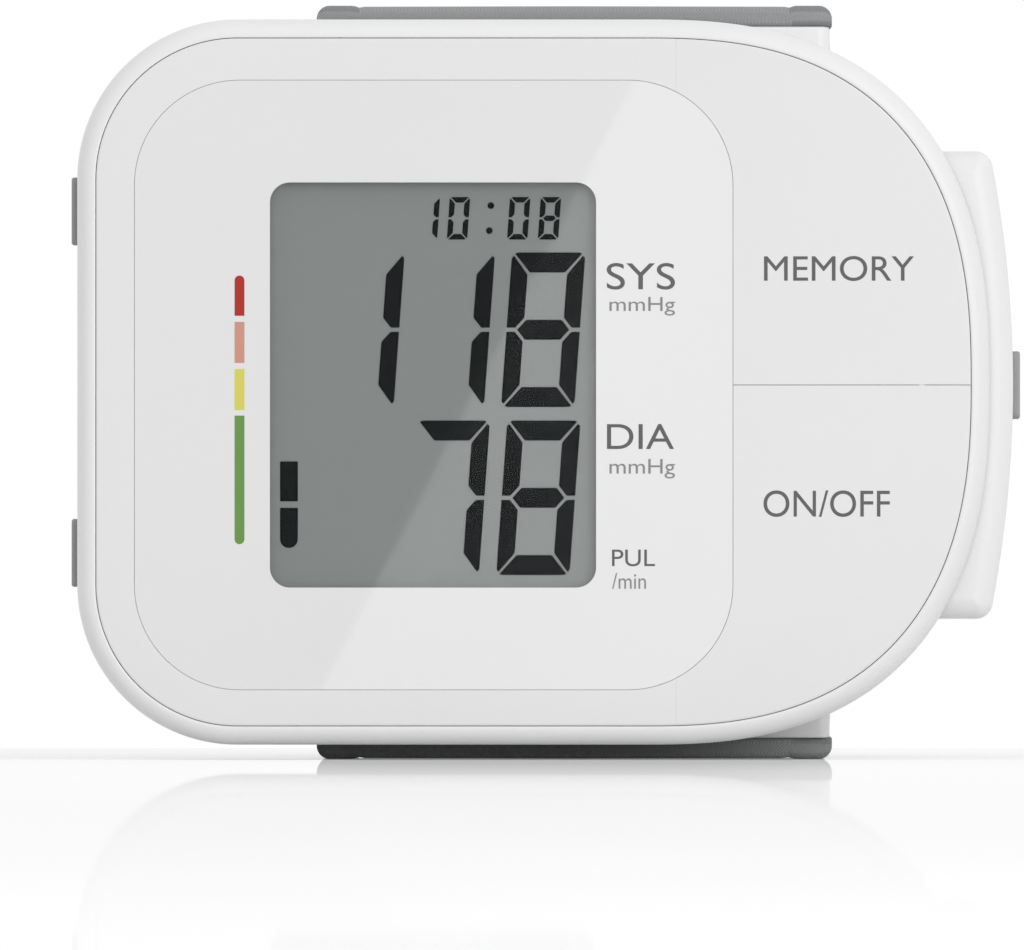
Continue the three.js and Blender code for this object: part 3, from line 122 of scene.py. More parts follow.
def newMaterial(name):
    material = bpy.data.materials.new(name)
    return material, nodeTree(material)


def makeCamera(given):
    data = bpy.data.cameras.new("camera")
    data.lens, data.sensor_width = pick(given, "lens sensor")
    data.clip_start, data.clip_end = pick(given, "nearest farthest")
    camera = newObject("camera", data)
    distance = given["lens"] * given["pictureWidth"] / given["sensor"]
    camera.location = Vector((given["centreX"], faceY - distance, given["heightZ"])) / 1000
    camera.rotation_euler = (math.pi / 2, 0, 0)
    scene.camera = camera
    return distance


def makeWorld(given):
    # soft even light, and plain white for a straight look
    world = bpy.data.worlds.new("studio")
    scene.world = world
    tree = nodeTree(world)
    soft, seen = (add(tree, "Background", {"Color": (1, 1, 1), "Strength": strength})[0]
                  for strength in pick(given, "soft seen"))
    add(tree, "OutputWorld", {0: mixShaders(tree, straightLook(tree), soft, seen)})


def stageSheet(name, points, material):
    mesh = bpy.data.meshes.new(name)
    mesh.from_pydata([tuple(point) for point in points], [], [(0, 1, 2, 3)])
    mesh.materials.append(material)
    sheet = newObject(name, mesh)
    return sheet


def makeFloor(given):
    # white sheet under the cuff, greyer in the light that it throws back up;
    # its mirror is far + (near - far) * exp(-(distance from the object - polish) / fade)
    material, tree = newMaterial("floorWhite")
    place = add(tree, "TexCoord")["Object"]
    away = add(tree, "VectorMath", {0: place}, operation="LENGTH")["Value"]
    power = maths(tree, "MULTIPLY_ADD", away, -1 / given["fade"], given["polish"] / given["fade"])
    share = maths(tree, "EXPONENT", power, use_clamp=True)
    mirror, lift = (add(tree, "MapRange", {"Value": share, "To Min": given[name + "Far"],
                                           "To Max": given[name + "Near"]})["Result"]
                    for name in ("mirror", "lift"))
    matt, dull = (add(tree, "BsdfDiffuse", {"Color": (white, white, white)})[0]
                  for white in pick(given, "seen bounce"))
    glow = add(tree, "Emission", {"Strength": lift})[0]
    gloss = add(tree, "BsdfGlossy", {"Roughness": given["blur"]})[0]
    lit = add(tree, "AddShader", {0: matt, 1: glow})[0]
    seen = mixShaders(tree, mirror, lit, gloss)
    add(tree, "OutputMaterial", {0: mixShaders(tree, straightLook(tree), dull, seen)})
    x, front, back = pick(given, "half front back")
    stageSheet("floor", [(-x, front, 0), (x, front, 0), (x, back, 0), (-x, back, 0)], material)


def makeLamps(lamps):
    for given in lamps:
        data = bpy.data.lights.new(given["name"], "AREA")
        data.energy, data.size = pick(given, "watts size")
        lamp = newObject(given["name"], data)
        lamp.location = given["at"]
        towards = Vector(lampTarget) - Vector(given["at"])
        lamp.rotation_euler = towards.to_track_quat("-Z", "Y").to_euler()
        lamp.visible_camera = False


def makeCard(given, distance):
    # a bright card in front of the face, seen only in its gloss: a half plane right of one slanting edge
    topX, topZ, right = pick(given, "topX topZ right")
    high, low = topZ + given["rise"], topZ - given["fall"]
    highX, lowX = (topX + (z - topZ) * given["slope"] for z in (high, low))
    corners = np.array([(highX, high), (lowX, low), (right, low), (right, high)])
    centre = np.array(pick(cameraValues, "centreX heightZ"))
    corners = centre + (corners - centre) * (1 + given["distance"] / distance)
    points = np.insert(corners, 1, faceY - given["distance"], axis=1) / 1000
    material, tree = newMaterial("cardLight")
    glow = add(tree, "Emission", {"Strength": given["strength"]})[0]
    clear = add(tree, "BsdfTransparent")[0]
    behind = add(tree, "NewGeometry")["Backfacing"]
    add(tree, "OutputMaterial", {0: mixShaders(tree, behind, clear, glow)})
    card = stageSheet("card", points, material)
    card.visible_camera = card.visible_diffuse = False
    card.visible_transmission = card.visible_shadow = False


cameraDistance = makeCamera(cameraValues)
makeWorld(worldValues)
makeFloor(floorValues)
makeLamps(lampValues)
makeCard(cardValues, cameraDistance)
scene.view_settings.view_transform = "Standard"
print("stage and light made")


# Surfaces: arrays of points in, closed meshes out

surfaceValues = {"smoothAngle": 38, "bevelAngle": 50, "sliver": 0.002}


def gridQuads(rows, columns, closeRows=False):
    # quads between neighbours of a rows x columns grid that is closed across its columns
    i, j = np.meshgrid(np.arange(rows if closeRows else rows - 1), np.arange(columns), indexing="ij")
    i, j = i.ravel(), j.ravel()
    di = np.stack([i, i + 1, i + 1, i], axis=1)
    dj = np.stack([j, j, j + 1, j + 1], axis=1)
    return (di % rows) * columns + dj % columns, di, dj


def endFaces(rows, columns):
    # the first and the last row of such a grid, each as one face
    ends = np.arange(columns)
    return [ends[None, :], (ends[::-1] + (rows - 1) * columns)[None, :]]


def sixVolumes(points, faces):
    # six times the enclosed volume, from a fan of triangles in each face
    total = 0.0
    for f in faces:
        for k in range(1, f.shape[1] - 1):
            a, b, c = points[f[:, 0]], points[f[:, k]], points[f[:, k + 1]]
            total += np.einsum("ij,ij->", a - points[0], np.cross(b - points[0], c - points[0]))
    return total


def smoothBy(piece, angle):
    # smooth shading but for edges sharper than the angle
    mesh = piece.data
    mesh.polygons.foreach_set("use_smooth", np.ones(len(mesh.polygons), bool))
    mesh.set_sharp_from_angle(angle=math.radians(angle))
    mesh.update()


def pointsOf(mesh):
    points = np.zeros(len(mesh.vertices) * 3)
    mesh.vertices.foreach_get("co", points)
    return points.reshape(-1, 3)


def movePoints(mesh, points):
    mesh.vertices.foreach_set("co", np.ravel(points))
    mesh.update()


def weld(mesh, distance):
    # merges vertices that lie closer than the distance
    work = bmesh.new()
    work.from_mesh(mesh)
    bmesh.ops.remove_doubles(work, verts=work.verts, dist=distance)
    work.to_mesh(mesh)
    work.free()


def meshObject(name, points, faces, uv=None, smooth=surfaceValues["smoothAngle"]):
    # a mesh in millimetres whose faces point outwards
    points = np.asarray(points, float)
    if sixVolumes(points, faces) < 0:
        faces = [f[:, ::-1] for f in faces]
        uv = None if uv is None else [corners[:, ::-1] for corners in uv]
    mesh = bpy.data.meshes.new(name)
    mesh.from_pydata(points.tolist(), [], [row for f in faces for row in f.tolist()])
    if uv is not None:
        layer = mesh.uv_layers.new(name="surface")
        layer.data.foreach_set("uv", np.concatenate([corners.ravel() for corners in uv]).astype(np.float32))
    made = newObject(name, mesh)
    smoothBy(made, smooth)
    return made


def loft(name, rings, closed=False, smooth=surfaceValues["smoothAngle"], uv=None):
    # rings of equal count joined in order; open ends are capped by their own outline;
    # uv, for open lofts, holds the distances along the rings and round them
    rings = np.asarray(rings, float)
    rows, columns = rings.shape[:2]
    quads, di, dj = gridQuads(rows, columns, closed)
    faces = [quads] + ([] if closed else endFaces(rows, columns))
    corners = None
    if uv is not None:
        corners = [np.stack([uv[0][di % rows], uv[1][dj]], axis=2), rings[:1, :, ::2], rings[-1:, ::-1, ::2]]
    return meshObject(name, rings.reshape(-1, 3), faces, corners, smooth)


def stack(name, outlineAt, steps, axis=1, closed=False):
    # one outline family, each step with its own inset and its own place along the axis
    return loft(name, [np.insert(outlineAt(inset), axis, at, axis=1) for inset, at in steps], closed)


def prism(outline, start, end, axis=1):
    # one outline carried straight along the axis, to cut or to join
    return stack("tool", lambda inset: outline, [(0, start), (0, end)], axis)


def block(x0, x1, y0, y1, z0, z1):
    return prism(np.array([[x0, z0], [x1, z0], [x1, z1], [x0, z1]], float), y0, y1)


def turned(name, start, end, profile, sides=64, smooth=surfaceValues["smoothAngle"]):
    # circles round the line from start to end: each step of the profile is a radius and a distance along it
    start, end = np.array(start, float), np.array(end, float)
    along = (end - start) / np.linalg.norm(end - start)
    side = np.cross(along, [1, 0, 0] if abs(along[0]) < 0.9 else [0, 1, 0])
    side /= np.linalg.norm(side)
    up = np.cross(along, side)
    t = np.linspace(0, 2 * np.pi, sides, endpoint=False)[:, None]
    circle = np.cos(t) * side + np.sin(t) * up
    return loft(name, [start + along * at + circle * radius for radius, at in profile], smooth=smooth)


def rod(radius, start, end):
    return turned("tool", start, end, [(radius, 0), (radius, math.dist(start, end))])


def posts(radius, places, start, end):
    # rods along y at each x and z
    return [rod(radius, (x, start, z), (x, end, z)) for x, z in places]


def combine(base, tools, operation="DIFFERENCE"):
    # cuts the tools out of the base, or joins them to it, or keeps what both hold; drops the tools
    for tool in tools:
        step = base.modifiers.new("combine", "BOOLEAN")
        step.operation, step.solver, step.object = operation, "EXACT", tool
    graph = bpy.context.evaluated_depsgraph_get()
    made = bpy.data.meshes.new_from_object(base.evaluated_get(graph))
    weld(made, surfaceValues["sliver"])
    base.modifiers.clear()
    base.data = made
    for tool in tools:
        bpy.data.objects.remove(tool)
    smoothBy(base, surfaceValues["smoothAngle"])
    return base


def soften(piece, width):
    # a small rounding in millimetres along every sharp edge
    edge = piece.modifiers.new("edges", "BEVEL")
    edge.width, edge.segments = width / 1000, 2
    edge.limit_method, edge.angle_limit = "ANGLE", math.radians(surfaceValues["bevelAngle"])
    edge.harden_normals = True
    return piece


def dress(piece, finish, slot, *stands):
    # from drawn millimetres to the frame's metres; its finish and the nodes it stands for; the slot is not
    # used
    piece.data.transform(Matrix.Translation(Vector(designZero / 1000)) @ Matrix.Scale(0.001, 4))
    piece.data.materials.clear()
    piece.data.materials.append(finishes[finish])
    if stands:
        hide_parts(*stands)
    return piece


def settle(piece, body, finish, slot, *stands):
    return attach(dress(piece, finish, slot, *stands), body)


def arc(cx, cz, radius, start, end, count):
    t = np.radians(np.linspace(start, end, count))
    return np.column_stack([cx + radius * np.cos(t), cz + radius * np.sin(t)])


def line(a, b, count):
    # points from a up to but not including b
    return np.linspace(a, b, count, endpoint=False)


def roundedRect(cx, cz, halfWidth, halfHeight, radius, corner=24, side=8):
    # an outline that takes its inset: quarter circles and straight sides, the same count at every size
    x, z = halfWidth - radius, halfHeight - radius
    middles = [(cx - x, cz - z), (cx + x, cz - z), (cx + x, cz + z), (cx - x, cz + z)]

    def outline(inset):
        corners = [arc(*middle, radius - inset, start, start + 90, corner)
                   for middle, start in zip(middles, (180, 270, 0, 90))]
        parts = []
        for points, following in zip(corners, corners[1:] + corners[:1]):
            parts += [points[:-1], line(points[-1], following[0], side)]
        return np.concatenate(parts)

    return outline


def frontRound(width, drop, at=0.0, count=14):
    # quarter ellipse from the flat front to the full outline, as inset and place
    t = np.linspace(0, np.pi / 2, count)
    return list(zip(width * (1 - np.sin(t)), at + drop * (1 - np.cos(t))))


def backRound(radius, at, count=14):
    # quarter circle from the full outline to the flat back
    t = np.linspace(0, np.pi / 2, count)
    return list(zip(radius * (1 - np.cos(t)), at - radius * (1 - np.sin(t))))


def eased(size, at, way=1):
    # a small three-point edge from the drawn-in end to the full outline, as inset and place
    return [(size, at), (0.3 * size, at + way * 0.3 * size), (0, at + way * size)]


# Finishes: shared effects are groups, shaders stay in the materials

def makeGroup(name, inputs, outputs, build):
    # numbers with their first values in; build gives what goes to each named output
    group = bpy.data.node_groups.new(name, "ShaderNodeTree")
    for label, value in inputs.items():
        socket = group.interface.new_socket(name=label, in_out="INPUT", socket_type="NodeSocketFloat")
        socket.default_value = value
    for label in outputs:
        kind = "NodeSocketVector" if label == "Normal" else "NodeSocketFloat"
        group.interface.new_socket(name=label, in_out="OUTPUT", socket_type=kind)
    made = build(group, group.nodes.new("NodeGroupInput").outputs)
    end = group.nodes.new("NodeGroupOutput")
    for label, output in zip(outputs, made):
        group.links.new(output, end.inputs[label])
    return group


def buildGrain(tree, given):
    # two noises on object coordinates: a fine one for the moulded grain, a wide one for slow unevenness
    where = add(tree, "TexCoord")["Object"]
    fine = add(tree, "TexNoise", {"Vector": where, "Scale": given["Scale"], "Detail": 3.0})["Fac"]
    wide = add(tree, "TexNoise", {"Vector": where, "Scale": 35.0, "Detail": 2.0})["Fac"]
    bump = add(tree, "Bump", {"Strength": given["Depth"], "Distance": 0.0001, "Height": fine})
    return wide, fine, bump["Normal"]


def buildWear(tree, given):
    # edges that stand proud, found from the normal of a rounded copy of the surface, broken up by noise
    normal = add(tree, "NewGeometry")["Normal"]
    rounded = add(tree, "Bevel", {"Radius": given["Radius"]}, samples=4)["Normal"]
    across = add(tree, "VectorMath", {0: normal, 1: rounded}, operation="DOT_PRODUCT")["Value"]
    edge = add(tree, "MapRange", {"Value": across, "From Min": 0.995, "From Max": 0.80})["Result"]
    where = add(tree, "TexCoord")["Object"]
    noise = add(tree, "TexNoise", {"Vector": where, "Scale": 600.0, "Detail": 3.0})["Fac"]
    return (maths(tree, "MULTIPLY", edge, noise),)


def buildWeave(tree, given):
    # plain weave on the piece's own map in millimetres: sin(kx) * sin(ky), roughened by fibre noise
    where = add(tree, "UVMap", uv_map="surface")["UV"]
    split = add(tree, "SeparateXYZ", {0: where})
    waves = [maths(tree, "SINE", maths(tree, "MULTIPLY", split[axis], given["Threads"])) for axis in "XY"]
    over = maths(tree, "MULTIPLY_ADD", maths(tree, "MULTIPLY", *waves), 0.5, 0.5)
    fuzz = add(tree, "TexNoise", {"Vector": where, "Scale": 2.2, "Detail": 4.0})["Fac"]
    height = maths(tree, "MULTIPLY_ADD", fuzz, 0.35, over)
    bump = add(tree, "Bump", {"Strength": given["Depth"], "Distance": 0.00012, "Height": height})
    return over, fuzz, bump["Normal"]


grainGroup = makeGroup("mouldedGrain", {"Scale": 2500.0, "Depth": 0.1}, ("Slow", "Fine", "Normal"),
                       buildGrain)
wearGroup = makeGroup("edgeWear", {"Radius": 0.0003}, ("Mask",), buildWear)
weaveGroup = makeGroup("plainWeave", {"Threads": 12.0, "Depth": 0.6}, ("Over", "Fuzz", "Normal"),
                       buildWeave)


def mixColours(tree, factor, a, b):
    return add(tree, "Mix", {0: factor, 6: a, 7: b}, data_type="RGBA")[2]


def shade(colour, share, more=0.0):
    return tuple(min(c * share + more, 1) for c in colour)


def plasticFinish(name, colour, roughness, grain=2500.0, depth=0.1, wear=0.25, coat=0.0, metallic=0.0,
                  gloss=0.5):
    # moulded surface: slow tone, fine grain in the bump and the gloss, and paler edges where hands rub
    material, tree = newMaterial(name)
    made = add(tree, "Group", {"Scale": grain, "Depth": depth}, node_tree=grainGroup)
    edges = add(tree, "Group", node_tree=wearGroup)
    slow = mixColours(tree, made["Slow"], shade(colour, 0.97), colour)
    rub = maths(tree, "MULTIPLY", edges["Mask"], wear)
    tone = mixColours(tree, rub, slow, shade(colour, 1.04, 0.02 * wear))
    rough = add(tree, "MapRange", {"Value": made["Fine"], "To Min": roughness * 0.8,
                                   "To Max": roughness * 1.2})
    body = add(tree, "BsdfPrincipled", {
        "Base Color": tone, "Roughness": rough["Result"], "Normal": made["Normal"], "Metallic": metallic,
        "Coat Weight": coat, "Coat Roughness": 0.03, "Specular IOR Level": gloss})
    add(tree, "OutputMaterial", {0: body[0]})
    return material


def fabricFinish(name, colour, threads, depth):
    # a woven cloth on the piece's own map, its colour with painted shade in the weave's low parts and
    # painted light on its crests, and loose fibre in the tone
    material, tree = newMaterial(name)
    weave = add(tree, "Group", {"Threads": threads, "Depth": depth}, node_tree=weaveGroup)
    # painted shade and light: darker where the weave lies low, paler where it stands high
    yarnWithPaintedShade = mixColours(tree, weave["Over"], shade(colour, 0.76), shade(colour, 1.15))
    fibre = mixColours(tree, weave["Fuzz"], shade(colour, 0.85), shade(colour, 1.1))
    body = add(tree, "BsdfPrincipled", {
        "Base Color": mixColours(tree, 0.45, yarnWithPaintedShade, fibre), "Roughness": 0.92, "Normal": weave["Normal"],
        "Sheen Weight": 0.25, "Sheen Roughness": 0.5, "Specular IOR Level": 0.2})
    add(tree, "OutputMaterial", {0: body[0]})
    return material


def clearFinish(name, colour, alpha):
    # a clear pane: its own gloss, a faint tint, and what lies behind it
    material, tree = newMaterial(name)
    made = add(tree, "Group", {"Scale": 1200.0, "Depth": 0.0}, node_tree=grainGroup)
    rough = add(tree, "MapRange", {"Value": made["Fine"], "To Min": 0.02, "To Max": 0.05})
    body = add(tree, "BsdfPrincipled", {"Base Color": colour, "Alpha": alpha, "Roughness": rough["Result"]})
    add(tree, "OutputMaterial", {0: body[0]})
    return material


# each plastic has its colour, its roughness and what differs from the usual
plasticValues = {
    "shellWhite": ((0.80, 0.80, 0.80), 0.36, {"depth": 0.08}),
    "faceWhite": ((0.775, 0.775, 0.775), 0.2, {"depth": 0.01, "gloss": 0.2}),
    "lensWhite": ((0.76, 0.76, 0.76), 0.02, {"depth": 0.0}),
    "segmentBlack": ((0.009, 0.010, 0.011), 0.5, {"depth": 0.0, "wear": 0.0, "gloss": 0.0}),
    "labelDark": ((0.085, 0.085, 0.09), 0.4, {"depth": 0.05}),
    "labelGrey": ((0.22, 0.22, 0.225), 0.4, {"depth": 0.05}),
    "softGrey": ((0.32, 0.32, 0.312), 0.55, {"depth": 0.3}),
    "displayGrey": ((0.262, 0.285, 0.275), 0.02, {"grain": 900.0, "depth": 0.0, "gloss": 0.7}),
    "mattBlack": ((0.02, 0.02, 0.022), 0.5, {}),
    "boardGreen": ((0.02, 0.13, 0.045), 0.35, {}),
    "creamPlastic": ((0.62, 0.62, 0.57), 0.45, {}),
    "hoseSilicone": ((0.62, 0.65, 0.63), 0.4, {}),
    "nickelSteel": ((0.56, 0.57, 0.58), 0.25, {"metallic": 1.0}),
    "cellJacket": ((0.10, 0.11, 0.12), 0.3, {"coat": 0.5}),
    "cellBand": ((0.42, 0.43, 0.44), 0.3, {"coat": 0.5}),
    "bladderFilm": ((0.16, 0.17, 0.18), 0.4, {}),
    "hookPlastic": ((0.07, 0.072, 0.076), 0.45, {"depth": 0.3}),
    "sewingThread": ((0.12, 0.122, 0.125), 0.7, {"depth": 0.6}),
    "printRed": ((0.44, 0.047, 0.037), 0.4, {"gloss": 0.0}),
    "printPink": ((0.62, 0.31, 0.245), 0.4, {"gloss": 0.0}),
    "printYellow": ((0.67, 0.64, 0.13), 0.4, {"gloss": 0.0}),
    "printGreen": ((0.165, 0.305, 0.09), 0.4, {"gloss": 0.0}),
}
# each fabric has its colour, its threads and their depth
fabricValues = {
    "cuffNylon": ((0.315, 0.32, 0.324), 18.0, 0.45),
    "bindingTape": ((0.255, 0.26, 0.264), 24.0, 0.6),
    "liningNylon": ((0.30, 0.305, 0.31), 18.0, 0.4),
    "hookTape": ((0.06, 0.062, 0.066), 9.0, 1.0),
}
finishes = {name: plasticFinish(name, colour, roughness, **more)
            for name, (colour, roughness, more) in plasticValues.items()}
finishes.update({name: fabricFinish(name, *values) for name, values in fabricValues.items()})
finishes["windowClear"] = clearFinish("windowClear", (0.03, 0.032, 0.031), 0.07)
print("finishes made")


# Housing: the D outline in every size, and the two moulded shells

housingValues = {
    "left": -46.9, "halfHeight": 36.28, "corner": 16.0, "bowX": 9.95, "reach": 34.45, "power": 2.55,
    "rim": 1.85, "drop": 2.4, "rimEdge": 0.12, "parting": 14.0, "partEdge": 0.15, "back": 20.7,
    "backRound": 4.0, "wall": 1.6, "ledge": (1.6, 2.8), "ledgeWidth": 2.6, "ledgeEnd": 10.1, "edge": 0.12,
    "overlap": 0.12, "lip": (2.15, 3.05), "lipLow": 1.2, "lipHigh": 1.6, "lipGap": 0.3, "lipEnd": 13.0,
    "lipBoss": 0.2,
}
screwValues = {"front": ((-39.5, 28.8, 2.2), (-39.5, -28.8, 2.2), (31.2, 27.9, 3.2), (31.2, -27.9, 3.2)),
               "boss": 2.3, "bossGap": 0.05, "bossEnd": 0.1, "bore": 1.3, "depth": 10.0, "counter": 2.2,
               "sunk": 2.4, "length": 9.7, "shank": 1.0, "core": 0.76, "pitch": 0.8, "flank": (1.6, 0.4),
               "tip": 1.6, "tipLeast": 0.3, "neck": 0.6, "sides": 36, "steps": 150,
               "head": ((-0.1, 0), (0, 0.1), (0, 0.75), (-0.25, 1.08), (-0.7, 1.2)),
               "headRadius": 1.9, "slot": 0.5, "slotDepth": 0.55, "slotHalf": 1.0}
doorValues = {"left": 38.0, "crown": 46.77, "crownRadius": 118.0, "halfHeight": 23.4, "centreZ": -0.3,
              "corner": 1.7, "leastCorner": 0.12, "front": 3.0, "back": 19.9, "round": 2.2, "wall": 1.6,
              "rib": 1.2, "ribZ": 18.0, "gap": 0.3, "edge": 0.12}
hingeValues = {"x": 39.3, "y": 18.6, "radius": 1.3, "pin": 0.7, "pinEdge": 0.15, "barrel": 12.4, "lug": 20.6,
               "sweep": 2.9, "web": (3.5, 0.75), "gap": 0.3, "barrelGap": 0.01}
buttonValues = {"x": -46.9, "y": 7.8, "z": 17.1, "halfDepth": 2.25, "halfHeight": 3.4, "corner": 0.65,
                "proud": 0.6, "flange": 0.7, "flangeX": (-44.75, -43.95), "edge": 0.25, "gap": 0.3,
                "hole": (-49, -43.1)}
saddleValues = {"left": -22.8, "right": 28.48, "edge": 1.2, "start": 14.5, "end": 42.0, "skin": 1.4,
                "rib": 1.2, "pockets": 4, "endEdge": 0.3, "wristGap": 0.3, "seat": (-23.3, 29.0, 0.7, 2.4),
                "inlet": (-16, 2, 2.3)}
loopValues = {"y": 51.9, "halfDepth": 30.0, "halfHeight": 35.7}
screwPlaces = [(x, z) for x, z, _ in screwValues["front"]]
beyond = 60  # past every piece, where wide cuts end
spare = 2  # what other cuts run over the surface


def distances(points):
    # how far along the line each point lies
    return np.concatenate([[0], np.cumsum(np.linalg.norm(np.diff(points, axis=0), axis=1))])


def evenly(points, count):
    # the same line again with its points at even distances
    along = distances(points)
    at = np.linspace(0, along[-1], count)
    return np.column_stack([np.interp(at, along, column) for column in points.T])


def housingOutline(inset, given=housingValues):
    # quarter circles on the left; on the right a superellipse, |x / reach| ^ n + |z / height| ^ n = 1
    left, halfHeight, corner, power = pick(given, "left halfHeight corner power")
    high, radius = halfHeight - inset, corner - inset
    t = np.linspace(-np.pi / 2, np.pi / 2, 1441)
    x = given["bowX"] + (given["reach"] - inset) * np.maximum(np.cos(t), 0) ** (2 / power)
    bow = evenly(np.column_stack([x, high * np.sign(np.sin(t)) * np.abs(np.sin(t)) ** (2 / power)]), 181)
    low = arc(left + corner, corner - halfHeight, radius, 180, 270, 40)
    top = arc(left + corner, halfHeight - corner, radius, 90, 180, 40)
    return np.concatenate([low, line(low[-1], bow[0], 12)[1:], bow, line(bow[-1], top[0], 12)[1:], top,
                           line(top[-1], low[0], 12)[1:]])


def doorRecess(door, hinge):
    # the room that the door, its swing and its hinge take from the shells
    gap, x, y = door["gap"], hinge["x"], hinge["y"]
    low, high = (door["centreZ"] + side * (door["halfHeight"] + gap) for side in (-1, 1))
    return [block(door["left"] - gap, beyond, door["front"] - gap, beyond, low, high),
            rod(hinge["sweep"], (x, y, low), (x, y, high))]


def tabOutline(given, z):
    # the small tab of the latch and the side buttons
    return roundedRect(given["y"], z, *pick(given, "halfDepth halfHeight corner"))


def makeFrontShell(given, screws, button):
    # one closed profile of inset and depth round the outline: rim edge, rounded rim, wall, parting edge
    rim, low, part, edge, wide = pick(given, "rim rimEdge parting partEdge ledgeWidth")
    profile = [(rim, part - edge), (rim, low), (rim - 0.3 * low, 0.3 * low)]
    profile += frontRound(rim - low, given["drop"], count=20) + eased(edge, part, -1)[::-1]
    shell = stack("frontShell", housingOutline, profile + [(rim - edge, part)], closed=True)
    inner, outer = rim - given["overlap"], rim + wide
    front, back = given["ledge"]
    ledge = stack("tool", housingOutline, [(inner, front), (outer, front), (outer, back), (inner, back)],
                  closed=True)
    combine(ledge, [block(given["ledgeEnd"], beyond, 0, part, -beyond, beyond)])
    thin, thick = given["lip"]
    low, high, gap = part - given["lipLow"], part + given["lipHigh"], part - given["lipGap"]
    lip = stack("tool", housingOutline, [(inner, low), (thick, low), (thick, high), (thin, high),
                                         (thin, gap), (inner, gap)], closed=True)
    boss = screws["boss"]
    combine(lip, [block(given["lipEnd"], beyond, 0, beyond, -beyond, beyond)]
            + posts(boss + given["lipGap"], screwPlaces, part - given["lipBoss"], beyond))
    combine(shell, [ledge, lip], "UNION")
    combine(shell, [rod(boss, (x, y, z), (x, part - screws["bossGap"], z)) for x, z, y in screws["front"]],
            "UNION")
    holes = posts(screws["bore"], screwPlaces, part - screws["depth"], part + spare)
    holes += [prism(tabOutline(button, side * button["z"])(-button["gap"]), *button["hole"], axis=0)
              for side in (1, -1)]
    combine(shell, holes + doorRecess(doorValues, hingeValues))
    soften(shell, given["edge"])
    settle(shell, "housing", "shellWhite", "white_shell", "front_shell")


def saddleSolid(given, loop, floor):
    # a rounded plan carried up, less the wrist's ellipse and the pockets between the ribs
    left, right, start, end, skin, rib = pick(given, "left right start end skin rib")
    high, edge = loop["halfHeight"], given["endEdge"]
    plan = roundedRect((left + right) / 2, (start + end) / 2, (right - left) / 2, (end - start) / 2,
                       given["edge"], corner=12)
    body = stack("tool", plan, eased(edge, -high) + eased(edge, high, -1)[::-1], axis=2)
    radii = [loop["halfDepth"] + given["wristGap"], high + given["wristGap"]]
    ring = arc(0, 0, 1, 0, 360, 145)[:-1] * radii + [loop["y"], 0]
    wrist = prism(ring, left - spare, right + spare, axis=0)
    pitch = (right - left - 2 * skin + rib) / given["pockets"]
    pockets = [block(x, x + pitch - rib, floor + skin, end - skin, skin - high, high - skin)
               for x in left + skin + pitch * np.arange(given["pockets"])]
    return combine(body, [wrist] + pockets)


def makeRearShell(given, screws, door, hinge, saddle, loop):
    # the tray, its outline drawn in towards the back, with saddle and bosses joined and the openings cut
    part, edge, back, wall, rounding = pick(given, "parting partEdge back wall backRound")
    shell = stack("rearShell", housingOutline, eased(edge, part) + backRound(rounding, back, 20))
    combine(shell, [saddleSolid(saddle, loop, back)], "UNION")
    left, right, lift, thick = saddle["seat"]
    seats = [block(left, right, part + lift, back + spare, low, low + thick)
             for low in (loop["halfHeight"], -loop["halfHeight"] - thick)]
    room = [(0, part - spare)] + backRound(rounding, back - wall)
    room = stack("tool", lambda inset: housingOutline(given["rim"] + inset), room)
    combine(shell, [room] + seats)
    bosses = posts(screws["boss"], screwPlaces, part + screws["bossGap"], back - wall + screws["bossEnd"])
    combine(shell, bosses, "UNION")
    x, z, radius = saddle["inlet"]
    holes = (posts(screws["bore"], screwPlaces, part - spare, back + spare)
             + posts(screws["counter"], screwPlaces, back - screws["sunk"], back + spare)
             + posts(radius, [(x, z)], back - 2 * wall, back + spare))
    combine(shell, holes + doorRecess(door, hinge))
    x, y, lug, gap, (reach, half) = pick(hinge, "x y lug gap web")
    lugs, z = [], door["centreZ"]
    for low, high in ((z + hinge["barrel"] + gap, z + lug), (z - lug, z - hinge["barrel"] - gap)):
        eye = rod(hinge["radius"], (x, y, low), (x, y, high))
        lugs.append(combine(eye, [block(x - reach, x, y - half, y + half, low, high)], "UNION"))
    combine(shell, lugs, "UNION")
    combine(shell, [rod(hinge["pin"] + gap, (x, y, z - lug - spare), (x, y, z + lug + spare))])
    soften(shell, given["edge"])
    settle(shell, "housing", "shellWhite", "white_shell", "rear_shell")


makeFrontShell(housingValues, screwValues, buttonValues)
makeRearShell(housingValues, screwValues, doorValues, hingeValues, saddleValues, loopValues)
print("shells made")


# Face: the ring, the lens, the window and the two keys

faceValues = {"thick": 1.6, "gap": 0.01, "draft": 0.05, "edge": 0.28, "edgeDrop": 0.14, "splitX": 13.0,
              "splitZ": -0.3, "split": 0.025, "seam": 0.005, "chamfer": 0.04, "overlap": 0.1,
              "ribX": (20.68, 35), "ribZ": (1.12, 20.5), "ribHalf": 0.5, "ribHigh": 0.5, "armX": (0.12, 5),
              "armZ": 32.1, "armHalf": 1.1, "armHigh": 1.0, "lugX": (-2.6, -0.3), "shelfZ": (-29.9, 29.3)}
lensValues = {"left": -41.15, "right": 18.68, "halfHeight": 30.47, "centreZ": -0.3, "corner": 10.5,
              "thick": 0.8, "gap": 0.035, "chamfer": 0.03, "shelf": 1.8, "shelfOut": 0.2, "backGap": 0.01}
windowValues = {"x": -11.3, "z": -0.3, "halfWidth": 16.3, "halfHeight": 20.25, "corner": 2.0, "gap": 0.01}

lensOutline = roundedRect((lensValues["left"] + lensValues["right"]) / 2, lensValues["centreZ"],
                          (lensValues["right"] - lensValues["left"]) / 2,
                          *pick(lensValues, "halfHeight corner"), corner=40)
windowOutline = roundedRect(*pick(windowValues, "x z halfWidth halfHeight corner"))


